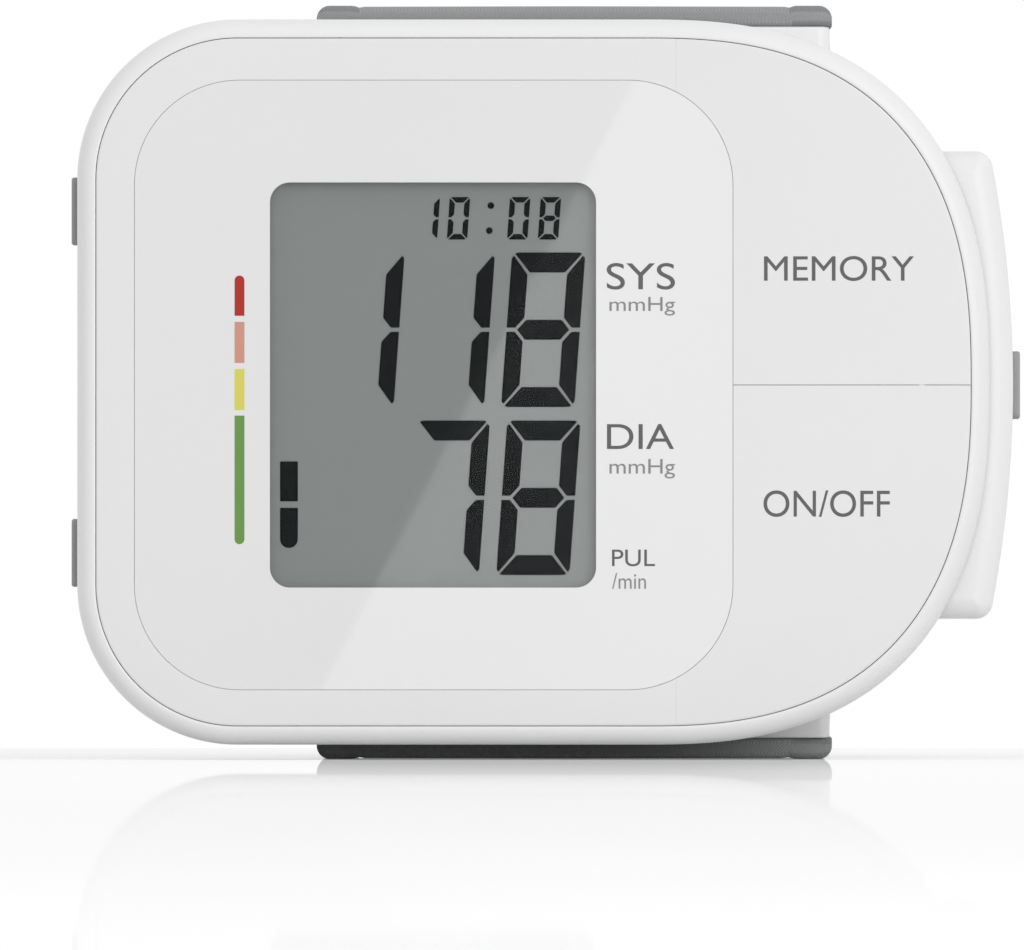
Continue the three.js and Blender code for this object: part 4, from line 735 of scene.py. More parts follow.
def facePlateSolid(given, lens):
    # the whole D with a rounded outer edge, less the lens opening, which flares by its chamfer at the face
    inset, gap, chamfer = housingValues["rim"] + given["gap"], lens["gap"], lens["chamfer"]
    steps = frontRound(given["edge"], given["edgeDrop"], count=8)
    steps = [(inset + given["draft"] + s, y) for s, y in steps] + [(inset, given["thick"])]
    plate = stack("facePlate", housingOutline, steps)
    opening = [(-gap - chamfer - 1, -1), (-gap, chamfer), (-gap, given["thick"] + 1)]
    return combine(plate, [stack("tool", lensOutline, opening)])


def keyShare(side, given):
    # one key's share of the face: right of the ring, above or below the split, whose edges are chamfered
    near, bevel = given["splitZ"] + side * given["split"], given["chamfer"]
    outline = [(-1, near + side * (bevel + 1)), (bevel, near), (beyond, near), (beyond, side * beyond),
               (-1, side * beyond)]
    return prism(np.array(outline), given["splitX"] + given["seam"], beyond, axis=0)


def makeFace(given, lens, window):
    plate = facePlateSolid(given, lens)
    thick, splitX, seam, arm, armHalf = pick(given, "thick splitX seam armZ armHalf")
    under, half, high = thick - given["overlap"], given["ribHalf"], thick + given["armHigh"]
    for name, side, body in (("memoryKey", 1, "memory_key"), ("onOffKey", -1, "on_off_key")):
        key = newObject(name, plate.data.copy())
        key.data.name = name
        combine(key, [keyShare(side, given)], "INTERSECT")
        near, outer = given["ribZ"]
        ribs = [block(*given["ribX"], under, thick + given["ribHigh"], z - half, z + half)
                for z in (given["splitZ"] + side * near, side * outer)]
        start, end = given["armX"]
        ribs.append(block(splitX + start, splitX + end, under, high, side * arm - armHalf,
                          side * arm + armHalf))
        combine(key, ribs, "UNION")
        settle(key, body, "faceWhite", "face_white", body)
    combine(plate, [block(splitX - seam, beyond, -spare, beyond, -beyond, beyond)])
    shelf = prism(lensOutline(-lens["shelfOut"]), lens["thick"], thick)
    start, end = given["lugX"]
    lugs = [block(splitX + start, splitX + end, under, high, z - armHalf, z + armHalf) for z in (arm, -arm)]
    combine(shelf, [block(splitX - seam, beyond, -spare, beyond, *given["shelfZ"])])
    combine(plate, [shelf] + lugs, "UNION")
    combine(plate, [prism(lensOutline(lens["shelf"]), -spare, thick + spare)])
    settle(plate, "housing", "faceWhite", "face_white", "face_plate")
    chamfer, back = lens["chamfer"], lens["thick"] - lens["backGap"]
    panel = stack("lensPanel", lensOutline, [(chamfer, 0), (0, chamfer), (0, back)])
    combine(panel, [prism(windowOutline(-window["gap"]), -spare, spare)])
    settle(panel, "housing", "lensWhite", "lens_white", "lens_panel")
    pane = stack("displayWindow", windowOutline, [(0, 0), (0, back)])
    settle(pane, "housing", "windowClear", "clear_window", "display_window")


makeFace(faceValues, lensValues, windowValues)
print("face made")


# Display and prints: flat shapes drawn in pixels of a tenth of a millimetre, x from the left, y from the top

drawingZero = (546, 382)
displayValues = {
    "slant": 0.072, "gapShare": 0.7, "joint": 0.22, "jointShares": (0.6, 0.3, 0.35), "front": 1.16,
    "back": 1.21,
    "large": {"high": 154.6, "wide": 73.4, "stroke": 17.0, "bar": 20.0, "gap": 3.0},
    "small": {"high": 42.5, "wide": 20.4, "stroke": 5.5, "bar": 5.5, "gap": 1.5},
    "largeDigits": [("bc", 362.45, 329.7), ("bc", 452.85, 329.7), ("abcdefg", 543.25, 329.7),
                    ("abc", 447.75, 497.8), ("abcdefg", 538.35, 497.8)],
    "smallDigits": [("bc", 428.4, 218.2), ("abcdef", 458.5, 218.2), ("abcdef", 518.75, 218.2),
                    ("abcdefg", 549.5, 218.2)],
    "dots": [(490.9, 205.5, 3.4), (489.3, 230.5, 3.4)],
    "bars": [(280, 297.8, 461.4, 501.3, ""), (280, 297.8, 507.8, 548, "bottom")],
}
printValues = {
    "x": (234.6, 244.4), "front": -0.015, "back": 0.01, "extrude": 0.05, "weld": 1e-5,
    "marks": [("Red", 275.5, 315.8, "top"), ("Pink", 321.9, 362.9, ""), ("Yellow", 369.0, 410.0, ""),
              ("Green", 415.6, 544.2, "bottom")],
    "labels": [("SYS", 606.7, 675, 263, 289.6, "labelDark", "housing"),
               ("mmHg", 609.5, 675, 297, 315.6, "labelGrey", "housing"),
               ("DIA", 607, 674, 424, 449, "labelDark", "housing"),
               ("mmHg", 609.5, 675, 459, 478.5, "labelGrey", "housing"),
               ("PUL", 612, 655, 549.6, 566.3, "labelDark", "housing"),
               ("/min", 612, 646, 573, 589, "labelGrey", "housing"),
               ("MEMORY", 764, 914, 256, 281, "labelDark", "memory_key"),
               ("ON/OFF", 763.5, 889.8, 490.4, 516.9, "labelDark", "on_off_key")],
}


def fromDrawing(points):
    # from the drawing's pixels to x and z
    return (np.asarray(points, float) - drawingZero) * [0.1, -0.1]


def prisms(name, outlines, front, back):
    # each outline carried from front to back, all in one mesh
    points, faces, base = [], [], 0
    for outline in outlines:
        x, z = outline.T
        points += [np.insert(outline, 1, y, axis=1) for y in (front, back)]
        turn = np.sum(x * np.roll(z, -1) - np.roll(x, -1) * z)
        made = [gridQuads(2, len(x))[0]] + endFaces(2, len(x))
        faces += [base + (f if turn > 0 else f[:, ::-1]) for f in made]
        base += 2 * len(x)
    return meshObject(name, np.concatenate(points), faces)


def segments(names, x, y, size, given):
    # seven strokes with slanting joints in an upright cell, then leaned over: x grows with the height
    w, h, s, b = size["wide"] / 2, size["high"] / 2, size["stroke"], size["bar"]
    g, c = size["gap"] * given["gapShare"], s * given["joint"]
    d, e, f = (c * share for share in given["jointShares"])
    upright = [(w, g), (w, h - g - c), (w - d, h - g - e), (w - s, h - b - g), (w - s, b / 2 + g),
               (w - s / 2, g)]
    level = [(w - g - c, h), (w - g - e, h - f), (w - s - g, h - b), (-w + s + g, h - b),
             (-w + g + e, h - f), (-w + g + c, h)]
    middle = [(w - s / 2 - g, 0), (w - s - g, b / 2), (-w + s + g, b / 2), (-w + s / 2 + g, 0),
              (-w + s + g, -b / 2), (w - s - g, -b / 2)]
    strokes = {"a": (level, 1, 1), "b": (upright, 1, 1), "c": (upright, 1, -1), "d": (level, 1, -1),
               "e": (upright, -1, -1), "f": (upright, -1, 1), "g": (middle, 1, 1)}
    made = []
    for name in names:
        shape, turnX, turnY = strokes[name]
        across, up = (np.array(shape) * (turnX, turnY)).T
        made.append(fromDrawing(np.column_stack([x + across + given["slant"] * up, y - up])))
    return made


def roundEnded(x0, x1, top, bottom, end):
    # a bar with one round end, or none
    middle, radius = (x0 + x1) / 2, (x1 - x0) / 2
    high, low = [(x0, top), (x1, top)], [(x1, bottom), (x0, bottom)]
    if end == "top":
        high = arc(middle, top + radius, radius, 180, 360, 13)
    if end == "bottom":
        low = arc(middle, bottom - radius, radius, 0, 180, 13)
    return fromDrawing(np.concatenate([high, low]))


def makeDisplay(given):
    shapes = []
    for size in ("large", "small"):
        for names, x, y in given[size + "Digits"]:
            shapes += segments(names, x, y, given[size], given)
    shapes += [fromDrawing(arc(x, y, radius, 0, 360, 17)[:-1]) for x, y, radius in given["dots"]]
    shapes += [roundEnded(*bar) for bar in given["bars"]]
    made = prisms("displaySegments", shapes, given["front"], given["back"])
    settle(made, "housing", "segmentBlack", "black_plastic")


def label(text, x0, x1, top, bottom, given):
    # plain lettering, stretched to its measured box
    data = bpy.data.curves.new("label", "FONT")
    data.body, data.extrude = text, given["extrude"]
    drawn = newObject("label", data)
    graph = bpy.context.evaluated_depsgraph_get()
    mesh = bpy.data.meshes.new_from_object(drawn.evaluated_get(graph))
    bpy.data.objects.remove(drawn)
    weld(mesh, given["weld"])
    points = pointsOf(mesh)
    low, high = points.min(axis=0), points.max(axis=0)
    share = (points - low) / (high - low)
    flat = fromDrawing([x0, bottom] + share[:, :2] * [x1 - x0, top - bottom])
    depth = given["back"] + share[:, 2] * (given["front"] - given["back"])
    movePoints(mesh, np.insert(flat, 1, depth, axis=1))
    return newObject("label_" + text.replace("/", ""), mesh)


def makePrints(given):
    for colour, top, bottom, end in given["marks"]:
        outline = roundEnded(*given["x"], top, bottom, end)
        mark = prisms("scale_" + colour.lower(), [outline], given["front"], given["back"])
        settle(mark, "housing", "print" + colour, "lens_white")
    for text, left, right, top, bottom, finish, body in given["labels"]:
        settle(label(text, left, right, top, bottom, given), body, finish, "black_plastic")


makeDisplay(displayValues)
makePrints(printValues)
print("display and prints made")


# Battery door, its latch and hinge, and the side buttons

latchValues = {"y": 10.2, "halfDepth": 2.25, "halfHeight": 3.4, "corner": 0.65, "flange": 0.8,
               "flangeX": (43.97, 44.87), "end": 47.5, "edge": 0.25, "nose": (2.2, 0.9, 1.5),
               "overlap": 0.1, "noseEdge": 0.1, "gap": 0.3}


def doorOutline(inset, given=doorValues):
    # a shallow crown on the right between two small corners, straight on the left
    half, radius = given["halfHeight"] - inset, max(given["corner"] - inset, given["leastCorner"])
    crown, crownX = given["crownRadius"] - inset, given["crown"] - given["crownRadius"]
    cornerZ = half - radius
    cornerX = crownX + math.sqrt((crown - radius) ** 2 - cornerZ ** 2)
    turn = math.degrees(math.atan2(cornerZ, cornerX - crownX))
    left, z = given["left"] - 2, given["centreZ"]
    return np.concatenate([
        line((left, z - half), (cornerX, z - half), 10),
        arc(cornerX, z - cornerZ, radius, -90, -turn, 16),
        arc(crownX, z, crown, -turn, turn, 60)[1:-1],
        arc(cornerX, z + cornerZ, radius, turn, 90, 16),
        line((cornerX, z + half), (left, z + half), 10)[1:], [(left, z + half)]])


def makeDoor(given, hinge, latch):
    # a crowned cover, its outline drawn in towards the front and the back, hollow towards the cells
    front, back, wall, z, left, high = pick(given, "front back wall centreZ left halfHeight")
    rounding, half = given["round"], given["rib"] / 2
    steps = frontRound(rounding, rounding, front) + backRound(rounding, back)
    door = stack("batteryDoor", doorOutline, steps)
    hollow = stack("tool", doorOutline, [(wall, front + wall), (wall, back - wall)])
    combine(door, [hollow, block(left - 2 * spare, left, front - spare, back + spare, -beyond, beyond)])
    ribs = [block(left + wall, given["crown"] - 2 * wall, front + wall / 2, back - wall / 2,
                  z + at - half, z + at + half) for at in (-given["ribZ"], given["ribZ"])]
    combine(door, ribs, "UNION")
    x, y, radius, barrel, gap = pick(hinge, "x y radius barrel gap")
    cuts = [prism(tabOutline(latch, z)(-latch["gap"]), left + wall, beyond, axis=0)]
    for low, top in ((z + barrel, z + high + spare), (z - high - spare, z - barrel)):
        cuts.append(rod(radius + gap, (x, y, low), (x, y, top)))
        cuts.append(block(left - spare, x, y - radius - gap, back + spare, low, top))
    length = barrel + hinge["barrelGap"]
    cuts.append(block(left - spare, x, y, back + spare, z - length, z + length))
    combine(door, cuts)
    combine(door, [rod(radius, (x, y, z - barrel), (x, y, z + barrel))], "UNION")
    combine(door, [rod(hinge["pin"] + gap, (x, y, z - high), (x, y, z + high))])
    soften(door, given["edge"])
    settle(door, "battery_door", "shellWhite", "white_shell", "battery_door")


def makeLatch(given, z):
    # one outline carried outwards: flange, then the tab with a rounded end; a nose behind it
    x0, x1 = given["flangeX"]
    steps = [(-given["flange"], x0), (-given["flange"], x1), (0, x1)]
    latch = stack("doorLatch", tabOutline(given, z), steps + backRound(given["edge"], given["end"]), axis=0)
    reach, thick, half = given["nose"]
    low = given["y"] - given["halfDepth"]
    nose = block(x0 - reach, x0 + given["overlap"], low, low + thick, z - half, z + half)
    combine(latch, [nose], "UNION")
    soften(latch, given["noseEdge"])
    settle(latch, "door_latch", "softGrey", "soft_grey", "door_latch")


def makeSideButton(name, z, given):
    # one outline carried inwards: the tab's rounded end, the tab, the flange behind the wall
    x0, x1 = given["flangeX"]
    steps = frontRound(given["edge"], given["edge"], given["x"] - given["proud"])
    steps += [(0, x0), (-given["flange"], x0), (-given["flange"], x1)]
    button = stack(name + "_tab", tabOutline(given, z), steps, axis=0)
    settle(button, name, "softGrey", "soft_grey", name)


makeDoor(doorValues, hingeValues, latchValues)
makeLatch(latchValues, doorValues["centreZ"])
makeSideButton("side_button_upper", buttonValues["z"], buttonValues)
makeSideButton("side_button_lower", -buttonValues["z"], buttonValues)
print("door, latch and side buttons made")


# Metal parts: hinge pin, screws, cells and springs

cellValues = {"radius": 5.25, "film": 0.06, "length": 44.5, "nub": 1.9, "nubHeight": 0.8, "nubStep": 0.2,
              "nubFoot": 0.25, "shoulder": 0.5, "y": 12.75, "from": 0.9, "band": 9.5, "bandGap": 0.01,
              "filmEdge": (0.005, 0.03), "endGap": 0.65, "sides": 72,
              "places": [("outer", 30.9, 1), ("inner", 20.1, -1)]}
springValues = {"turns": 3, "wire": 0.24, "base": 3.4, "tip": 2.3, "length": 3.3, "gap": 0.15, "steps": 40,
                "sides": 12}
contactThick, contactGap, springRoom = 0.4, 0.125, 3.6
bayHalfInside = cellValues["length"] / 2 + contactThick + springRoom / 2 + contactGap


def makeHingePin(hinge, z):
    x, y, radius, half, edge = pick(hinge, "x y pin lug pinEdge")
    steps = [(radius - edge, 0), (radius, edge), (radius, 2 * half - edge), (radius - edge, 2 * half)]
    pin = turned("hingePin", (x, y, z - half), (x, y, z + half), steps, sides=40)
    settle(pin, "housing", "nickelSteel", "steel", "door_hinge_pin")


def makeScrew(number, x, z, given, back):
    # radius as a function of angle and depth: a helical ridge on the core, a plain neck, and the round head
    shank, core, pitch, top, (steep, sunk) = pick(given, "shank core pitch headRadius flank")
    seat = back - given["sunk"]
    tip = seat - given["length"]
    turn = line(0, 2 * np.pi, given["sides"])[None, :]
    y = np.linspace(tip, seat - given["neck"], given["steps"])[:, None]
    ridge = np.abs(((y - tip) / pitch - turn / (2 * np.pi)) % 1 - 0.5) * 2
    taper = np.clip((y - tip) / given["tip"], given["tipLeast"], 1)
    thread = (core + (shank - core) * np.clip(steep * ridge - sunk, 0, 1)) * taper
    head = np.array([(core, -0.5), (core, 0)] + [(top + out, high) for out, high in given["head"]])
    radii = np.concatenate([thread, np.repeat(head[:, :1], given["sides"], axis=1)])
    depth = np.broadcast_to(np.concatenate([y, seat + head[:, 1:]]), radii.shape)
    rings = np.stack([x + radii * np.cos(turn), depth, z + radii * np.sin(turn)], axis=2)
    screw = loft("screw%d" % number, rings, smooth=30)
    end, half, reach = seat + head[-1, 1], given["slot"] / 2, given["slotHalf"]
    combine(screw, [block(x - wide, x + wide, end - given["slotDepth"], end + 1, z - high, z + high)
                    for wide, high in ((reach, half), (half, reach))])
    settle(screw, "housing", "nickelSteel", "steel", "case_screw_%d" % number)


def makeCell(name, x, up, given):
    # turned can with a raised end, and a printed film round it in two lengths
    length, edge, outer, nub, nubHigh, nubStep = pick(given, "length shoulder radius nub nubHeight nubStep")
    half, radius, top = length / 2, outer - given["film"], length - nubHigh
    rise = math.sqrt(0.5) * edge
    steps = [(radius - edge, 0), (radius - edge + rise, edge - rise), (radius, edge), (radius, top - edge),
             (radius - edge + rise, top - edge + rise), (radius - edge, top), (nub + given["nubFoot"], top),
             (nub, top + nubStep), (nub, top + nubHigh - nubStep), (nub - nubStep, top + nubHigh)]
    middle = up * (bayHalfInside - given["endGap"] - half)
    start, end = ((x, given["y"], middle + way * up * half) for way in (-1, 1))
    can = turned("cell_%s_can" % name, start, end, steps, given["sides"])
    settle(can, "housing", "nickelSteel", "steel")
    low, high = given["from"], top - given["from"]
    split, gap, (under, slope) = high - given["band"], given["bandGap"], given["filmEdge"]
    t = line(0, 2 * np.pi, given["sides"])
    circle = np.column_stack([np.cos(t), np.sin(t), np.zeros_like(t)])
    for part, a, b, finish in (("film", low, split - gap, "cellJacket"),
                               ("band", split + gap, high, "cellBand")):
        profile = [(radius + under, a), (outer, a + slope), (outer, b - slope), (radius + under, b)]
        rings = [start + circle * r + np.array([0, 0, up * at]) for r, at in profile]
        sleeve = loft("cell_%s_%s" % (name, part), rings, closed=True)
        settle(sleeve, "housing", finish, "cell_jacket", "cell_" + name)


def unit(vectors):
    return vectors / np.linalg.norm(vectors, axis=1)[:, None]


def makeSpring(name, x, side, given):
    # wire round a cone-shaped helix: the centre line, and a circle in the plane of outward and upward
    turns, steps, base, tip, wire = pick(given, "turns steps base tip wire")
    share = np.linspace(0, 1, turns * steps + 1)
    angle = 2 * np.pi * turns * share
    radius = base + (tip - base) * share
    rise = (given["length"] - 2 * wire) * share
    outward = np.column_stack([np.cos(angle), np.sin(angle), np.zeros_like(angle)])
    centre = radius[:, None] * outward + rise[:, None] * [0, 0, 1]
    tangent = unit(np.gradient(centre, axis=0))
    outward = unit(outward - tangent * np.sum(outward * tangent, axis=1)[:, None])
    upward = np.cross(outward, tangent)
    t = line(0, 2 * np.pi, given["sides"])[None, :, None]
    rings = centre[:, None, :] + wire * (np.cos(t) * outward[:, None, :] + np.sin(t) * upward[:, None, :])
    low = bayHalfInside - contactThick - given["gap"] - wire
    turn = [1, -1, -1] if side > 0 else [1, 1, 1]
    spring = loft("coil_" + name, rings * turn + [x, cellValues["y"], side * low], smooth=60)
    settle(spring, "housing", "nickelSteel", "steel", "spring_" + name)


makeHingePin(hingeValues, doorValues["centreZ"])
for number, (x, z) in enumerate(screwPlaces, 1):
    makeScrew(number, x, z, screwValues, housingValues["back"])
for name, x, up in cellValues["places"]:
    makeCell(name, x, up, cellValues)
    makeSpring(name, x, -up, springValues)
print("metal parts made")


# Cuff: every layer is a section of x and height carried along the loop round the wrist

cuffValues = {
    "left": -23.0, "right": 28.7, "thick": 2.1, "flapThick": 1.5, "corner": 1.3, "nose": 0.6, "front": 15.0,
    "lift": 3.5, "liftFrom": 44.0, "liftTo": 14.0, "flapEnd": -56.0, "lowerEnd": 378.0, "hinge": (14.0, 5.0),
    "binding": 4.2, "groove": 0.13, "grooveWidth": 0.32, "ply": 0.1, "plyWidth": 0.12, "crown": 0.06,
    "crease": 0.05, "creasePitch": (0.55, 0.9, 0.11, 0.07, 0.4), "creaseFrom": (88, 30, 4), "step": 0.9,
}
liningValues = {"slit": 4.0, "step": 1.17, "low": -3.0, "thick": 0.7, "lip": 0.8, "lipLow": -0.3,
                "corner": 0.45, "groove": 0.1, "ply": 0.07}
bladderValues = {"low": -2.0, "high": -1.3, "inner": 1.4, "inlet": (-16.0, 2.0), "bore": 1.25, "outer": 2.0,
                 "from": 15.25, "end": 28.2, "edge": 0.15, "boreGap": 0.01}
hookValues = {"from": -20.0, "to": -52.0, "margin": 3.0, "base": 2.8, "high": 3.2, "corner": 0.15,
              "step": 0.6, "pitch": 1.25, "radius": 0.1, "lift": 0.05, "border": (0.6, 0.5), "sides": 5,
              "bend": ((0, 0), (-0.02, -0.16), (0.02, -0.30), (0.14, -0.36), (0.22, -0.28)),
              "taper": (1, 1, 0.9, 0.8, 0.5)}
stitchValues = {"length": 1.7, "pitch": 2.5, "radius": 0.15, "inset": 3.5, "sunk": 0.1, "tip": 0.12,
                "sides": 6, "rings": 5, "upperFrom": 3.2, "lowerFrom": 3.0}
puffValues = {"pressure": 4.0, "frames": 20, "quality": 4, "cap": 0.00025, "seam": 0.3, "freeFrom": 26,
              "outside": 1.03, "flapAngle": -62}
cuffMiddle = (cuffValues["left"] + cuffValues["right"]) / 2
cuffHalf = (cuffValues["right"] - cuffValues["left"]) / 2


def loopLine(start, end, front=None, side=0, given=loopValues):
    # y, z, normal and angle: an ellipse between two angles, and if asked a straight run from its front end
    deg = np.linspace(start, end, 400)
    across, up = np.cos(np.radians(deg)), np.sin(np.radians(deg))
    y, deep, high = pick(given, "y halfDepth halfHeight")
    bow = np.column_stack([y + deep * across, high * up, across, up, deg])
    if front is None:
        return bow
    run = np.column_stack([line(front, y, 60), np.tile([side * high, 0, side, 180 - side * 90], (60, 1))])
    return np.concatenate([run, bow]) if side > 0 else np.concatenate([bow, run[::-1]])


def stations(path, step, nose=0.0):
    # the line at even distances, closer together in a rounded end, and how far the end draws the section in
    far = distances(path[:, :2])
    edge = nose * (1 - np.cos(np.linspace(0, np.pi / 2, 7 if nose else 1)))
    last = far[-1] - edge[::-1]
    at = np.concatenate([edge, np.linspace(edge[-1], last[0], int(far[-1] / step))[1:-1], last])
    there = np.column_stack([np.interp(at, far, column) for column in path.T])
    near = np.clip(np.minimum(at, far[-1] - at), 0, nose)
    return at, there, nose - np.sqrt(np.maximum(nose ** 2 - (nose - near) ** 2, 0))


def carry(name, at, there, x, height):
    # point = place on the line + normal * height, for each station and each point of the section
    height = np.broadcast_to(height, (len(at), len(x)))
    rings = np.stack([np.broadcast_to(x, height.shape), there[:, 0:1] + there[:, 2:3] * height,
                      there[:, 1:2] + there[:, 3:4] * height], axis=2)
    return loft(name, rings, smooth=45, uv=(at, distances(np.vstack([rings[0], rings[0][:1]]))))


def coverSection(given):
    # flat underside, upright sides, round outer corners and the wide top, as x, height and a mask of the top
    left, right, high, radius = pick(given, "left right thick corner")
    rise = np.linspace(0, high - radius, 4)[1:-1]
    corner = arc(right - radius, high - radius, radius, 0, 90, 9)
    other = arc(left + radius, high - radius, radius, 90, 180, 9)
    under, top = np.linspace(left, right, 40), np.linspace(right - radius, left + radius, 100)[1:-1]
    x = np.concatenate([under, [right] * 2, corner[:, 0], top, other[:, 0], [left] * 2])
    h = np.concatenate([[0] * 40, rise, corner[:, 1], [high] * 98, other[:, 1], rise[::-1]])
    return x, h, np.repeat([0.0, 1.0, 0.0], [51, 98, 11])


def seamRelief(inside, given, detail):
    # a groove exp(-(d / w)^2) at the seam, and the tape a ply higher outside it: 1 / (1 + exp(d / w))
    groove = detail["groove"] * np.exp(-(inside / given["grooveWidth"]) ** 2)
    return groove + detail["ply"] * (1 - 1 / (1 + np.exp(inside / given["plyWidth"])))


def coverDetail(x, at, deg, farEnd, given):
    # a seam's relief, a crown that grows linearly inwards, and low creases where the cuff curves:
    # sin(along * pitch + sway * sin(x * pitch)) * sin(x * pitch), faded out towards the seams
    away = at[-1] - at if farEnd else at
    inside = cuffHalf - given["binding"] - np.abs(x - cuffMiddle)[None, :]
    inside = np.minimum(inside, away[:, None] - given["binding"])
    along, sway, swayPitch, across, start = given["creasePitch"]
    bendFrom, bendOver, fade = given["creaseFrom"]
    bend = np.clip((bendFrom - np.abs((deg + 180) % 360 - 180)) / bendOver, 0, 1)[:, None]
    wave = np.sin(at[:, None] * along + sway * np.sin(x * swayPitch)[None, :])
    wave = wave * np.sin(x * across + start)[None, :]
    crease = given["crease"] * wave * bend * np.clip(inside / fade, 0, 1)
    return given["crown"] * np.clip(inside / cuffHalf, 0, 1) + crease - seamRelief(inside, given, given)


def liftAt(deg, given):
    # smooth step from 0 to 1 where the upper cover rises over the lower one's end
    share = np.clip((given["liftFrom"] - deg) / (given["liftFrom"] - given["liftTo"]), 0, 1)
    return share * share * (3 - 2 * share)


def makeCover(name, path, lifted, given):
    # the upper cover is sewn at its far end, the lower one at its near end
    at, there, inset = stations(path, given["step"], given["nose"])
    rise = liftAt(there[:, 4], given) * lifted
    thick = given["thick"] + (given["flapThick"] - given["thick"]) * rise - 2 * inset
    x, h, mask = coverSection(given)
    top = coverDetail(x, at, there[:, 4], lifted, given) * mask
    low = rise * given["lift"] + inset
    height = low[:, None] + (h[None, :] / given["thick"]) * thick[:, None] + top
    return carry(name, at, there, x, height), at, there, low + thick


def scatter(name, pattern, faces, s, x, lift, at, there):
    # copies of a small pattern, drawn along, outwards and sideways, set down at each distance, x and lift
    y, z, ny, nz = (np.interp(s, at, column) for column in there[:, :4].T)
    none = np.zeros_like(x)
    outward, along = np.column_stack([none, ny, nz]), np.column_stack([none, -nz, ny])
    places = np.column_stack([x, y + ny * lift, z + nz * lift])
    frames = np.stack([along, outward, np.cross(along, outward)], axis=1)
    points = places[:, None, :] + np.einsum("vk,nkc->nvc", pattern, frames)
    shifts = (np.arange(len(places)) * len(pattern))[:, None, None]
    faces = [(f[None, :, :] + shifts).reshape(-1, f.shape[1]) for f in faces]
    return meshObject(name, points.reshape(-1, 3), faces, smooth=60)


def makeStitches(name, at, there, outer, given, cuff, skip):
    # rows of long beads, half sunk in both seams; a bead's radius follows a half sine, flat at both tips
    t = np.linspace(given["tip"], 1 - given["tip"], given["rings"])
    a = line(0, 2 * np.pi, given["sides"])
    r = given["radius"] * np.sin(np.pi * t)[:, None] ** 0.5
    along = np.repeat(given["length"] * (t[:, None] - 0.5), given["sides"], axis=1)
    bead = np.stack([along, r * np.cos(a), r * np.sin(a)], axis=2)
    faces = [gridQuads(given["rings"], given["sides"])[0]] + endFaces(given["rings"], given["sides"])
    s = np.arange(at[0] + skip, at[-1] - skip, given["pitch"])
    x = np.repeat([cuff["left"] + given["inset"], cuff["right"] - given["inset"]], len(s))
    s = np.tile(s, 2)
    lift = np.interp(s, at, outer) - given["sunk"]
    return scatter(name, bead.reshape(-1, 3), faces, s, x, lift, at, there)


def bindEdges(piece, given):
    # the tape's finish on the faces outside the side seams
    mesh = piece.data
    mesh.materials.append(finishes["bindingTape"])
    centres = np.zeros(len(mesh.polygons) * 3)
    mesh.polygons.foreach_get("center", centres)
    out = np.abs(centres[::3] * 1000 - cuffMiddle) > cuffHalf - given["binding"]
    mesh.polygons.foreach_set("material_index", out.astype(np.int32))
    mesh.update()


def puff(piece, held, given):
    # air pressure in Blender's cloth swells the loose skin between its held seams; no point passes the cap
    trial = newObject("trial", piece.data.copy())
    group = trial.vertex_groups.new(name="held")
    group.add(np.nonzero(held)[0].tolist(), 1.0, "REPLACE")
    cloth = trial.modifiers.new("swell", "CLOTH")
    cloth.settings.use_pressure = True
    cloth.settings.uniform_pressure_force = given["pressure"]
    cloth.settings.effector_weights.gravity = 0
    cloth.settings.vertex_group_mass = "held"
    cloth.settings.quality = given["quality"]
    cloth.point_cache.frame_end = given["frames"]
    for number in range(1, given["frames"] + 1):
        scene.frame_set(number)
    before = pointsOf(piece.data)
    after = pointsOf(trial.evaluated_get(bpy.context.evaluated_depsgraph_get()).to_mesh())
    scene.frame_set(1)
    bpy.data.objects.remove(trial)
    move, cap = np.nan_to_num(after - before), given["cap"]
    far = np.linalg.norm(move, axis=1, keepdims=True)
    move *= cap * np.tanh(far / cap) / np.maximum(far, 1e-9)
    print(piece.name, "swelled by up to %.2f mm" % (np.linalg.norm(move, axis=1).max() * 1000))
    movePoints(piece.data, before + move)


def heldPart(piece, binding, given, loop):
    # the tape, the sides, the ends near the housing and what lies under the flap stay where they are
    points = pointsOf(piece.data) * 1000 - designZero
    across = (points[:, 1] - loop["y"]) / loop["halfDepth"]
    up = points[:, 2] / loop["halfHeight"]
    edges = np.abs(points[:, 0] - cuffMiddle) > cuffHalf - binding - given["seam"]
    under = np.degrees(np.arctan2(up, across)) > given["flapAngle"]
    return edges | (points[:, 1] < given["freeFrom"]) | (np.hypot(across, up) < given["outside"]) | under


def makeCovers(given, stitches, swell):
    path = loopLine(90, given["flapEnd"], given["front"], 1)
    upper, at, there, outer = makeCover("cuffUpper", path, True, given)
    dress(upper, "cuffNylon", "cuff_fabric", "cuff_cover_upper", "cuff_flap")
    bindEdges(upper, given)
    ends = [there[np.argmin(np.abs(there[:, 4] - angle))] for angle in given["hinge"]]
    ends = [(designZero + [cuffMiddle, *(end[:2] + end[2:4] * given["lift"])]) / 1000 for end in ends]
    ends = [end.tolist() for end in ends]
    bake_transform(upper)
    rows = makeStitches("stitchesUpper", at, there, outer, stitches, given, stitches["upperFrom"])
    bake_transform(dress(rows, "sewingThread", "cuff_fabric"))
    path = loopLine(given["lowerEnd"], 270, given["front"], -1)
    lower, at, there, outer = makeCover("cuffLower", path, False, given)
    dress(lower, "cuffNylon", "cuff_fabric", "cuff_cover_lower")
    bindEdges(lower, given)
    puff(lower, heldPart(lower, given["binding"], swell, loopValues), swell)
    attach(lower, "housing")
    rows = makeStitches("stitchesLower", at, there, outer, stitches, given, stitches["lowerFrom"])
    settle(rows, "housing", "sewingThread", "cuff_fabric")


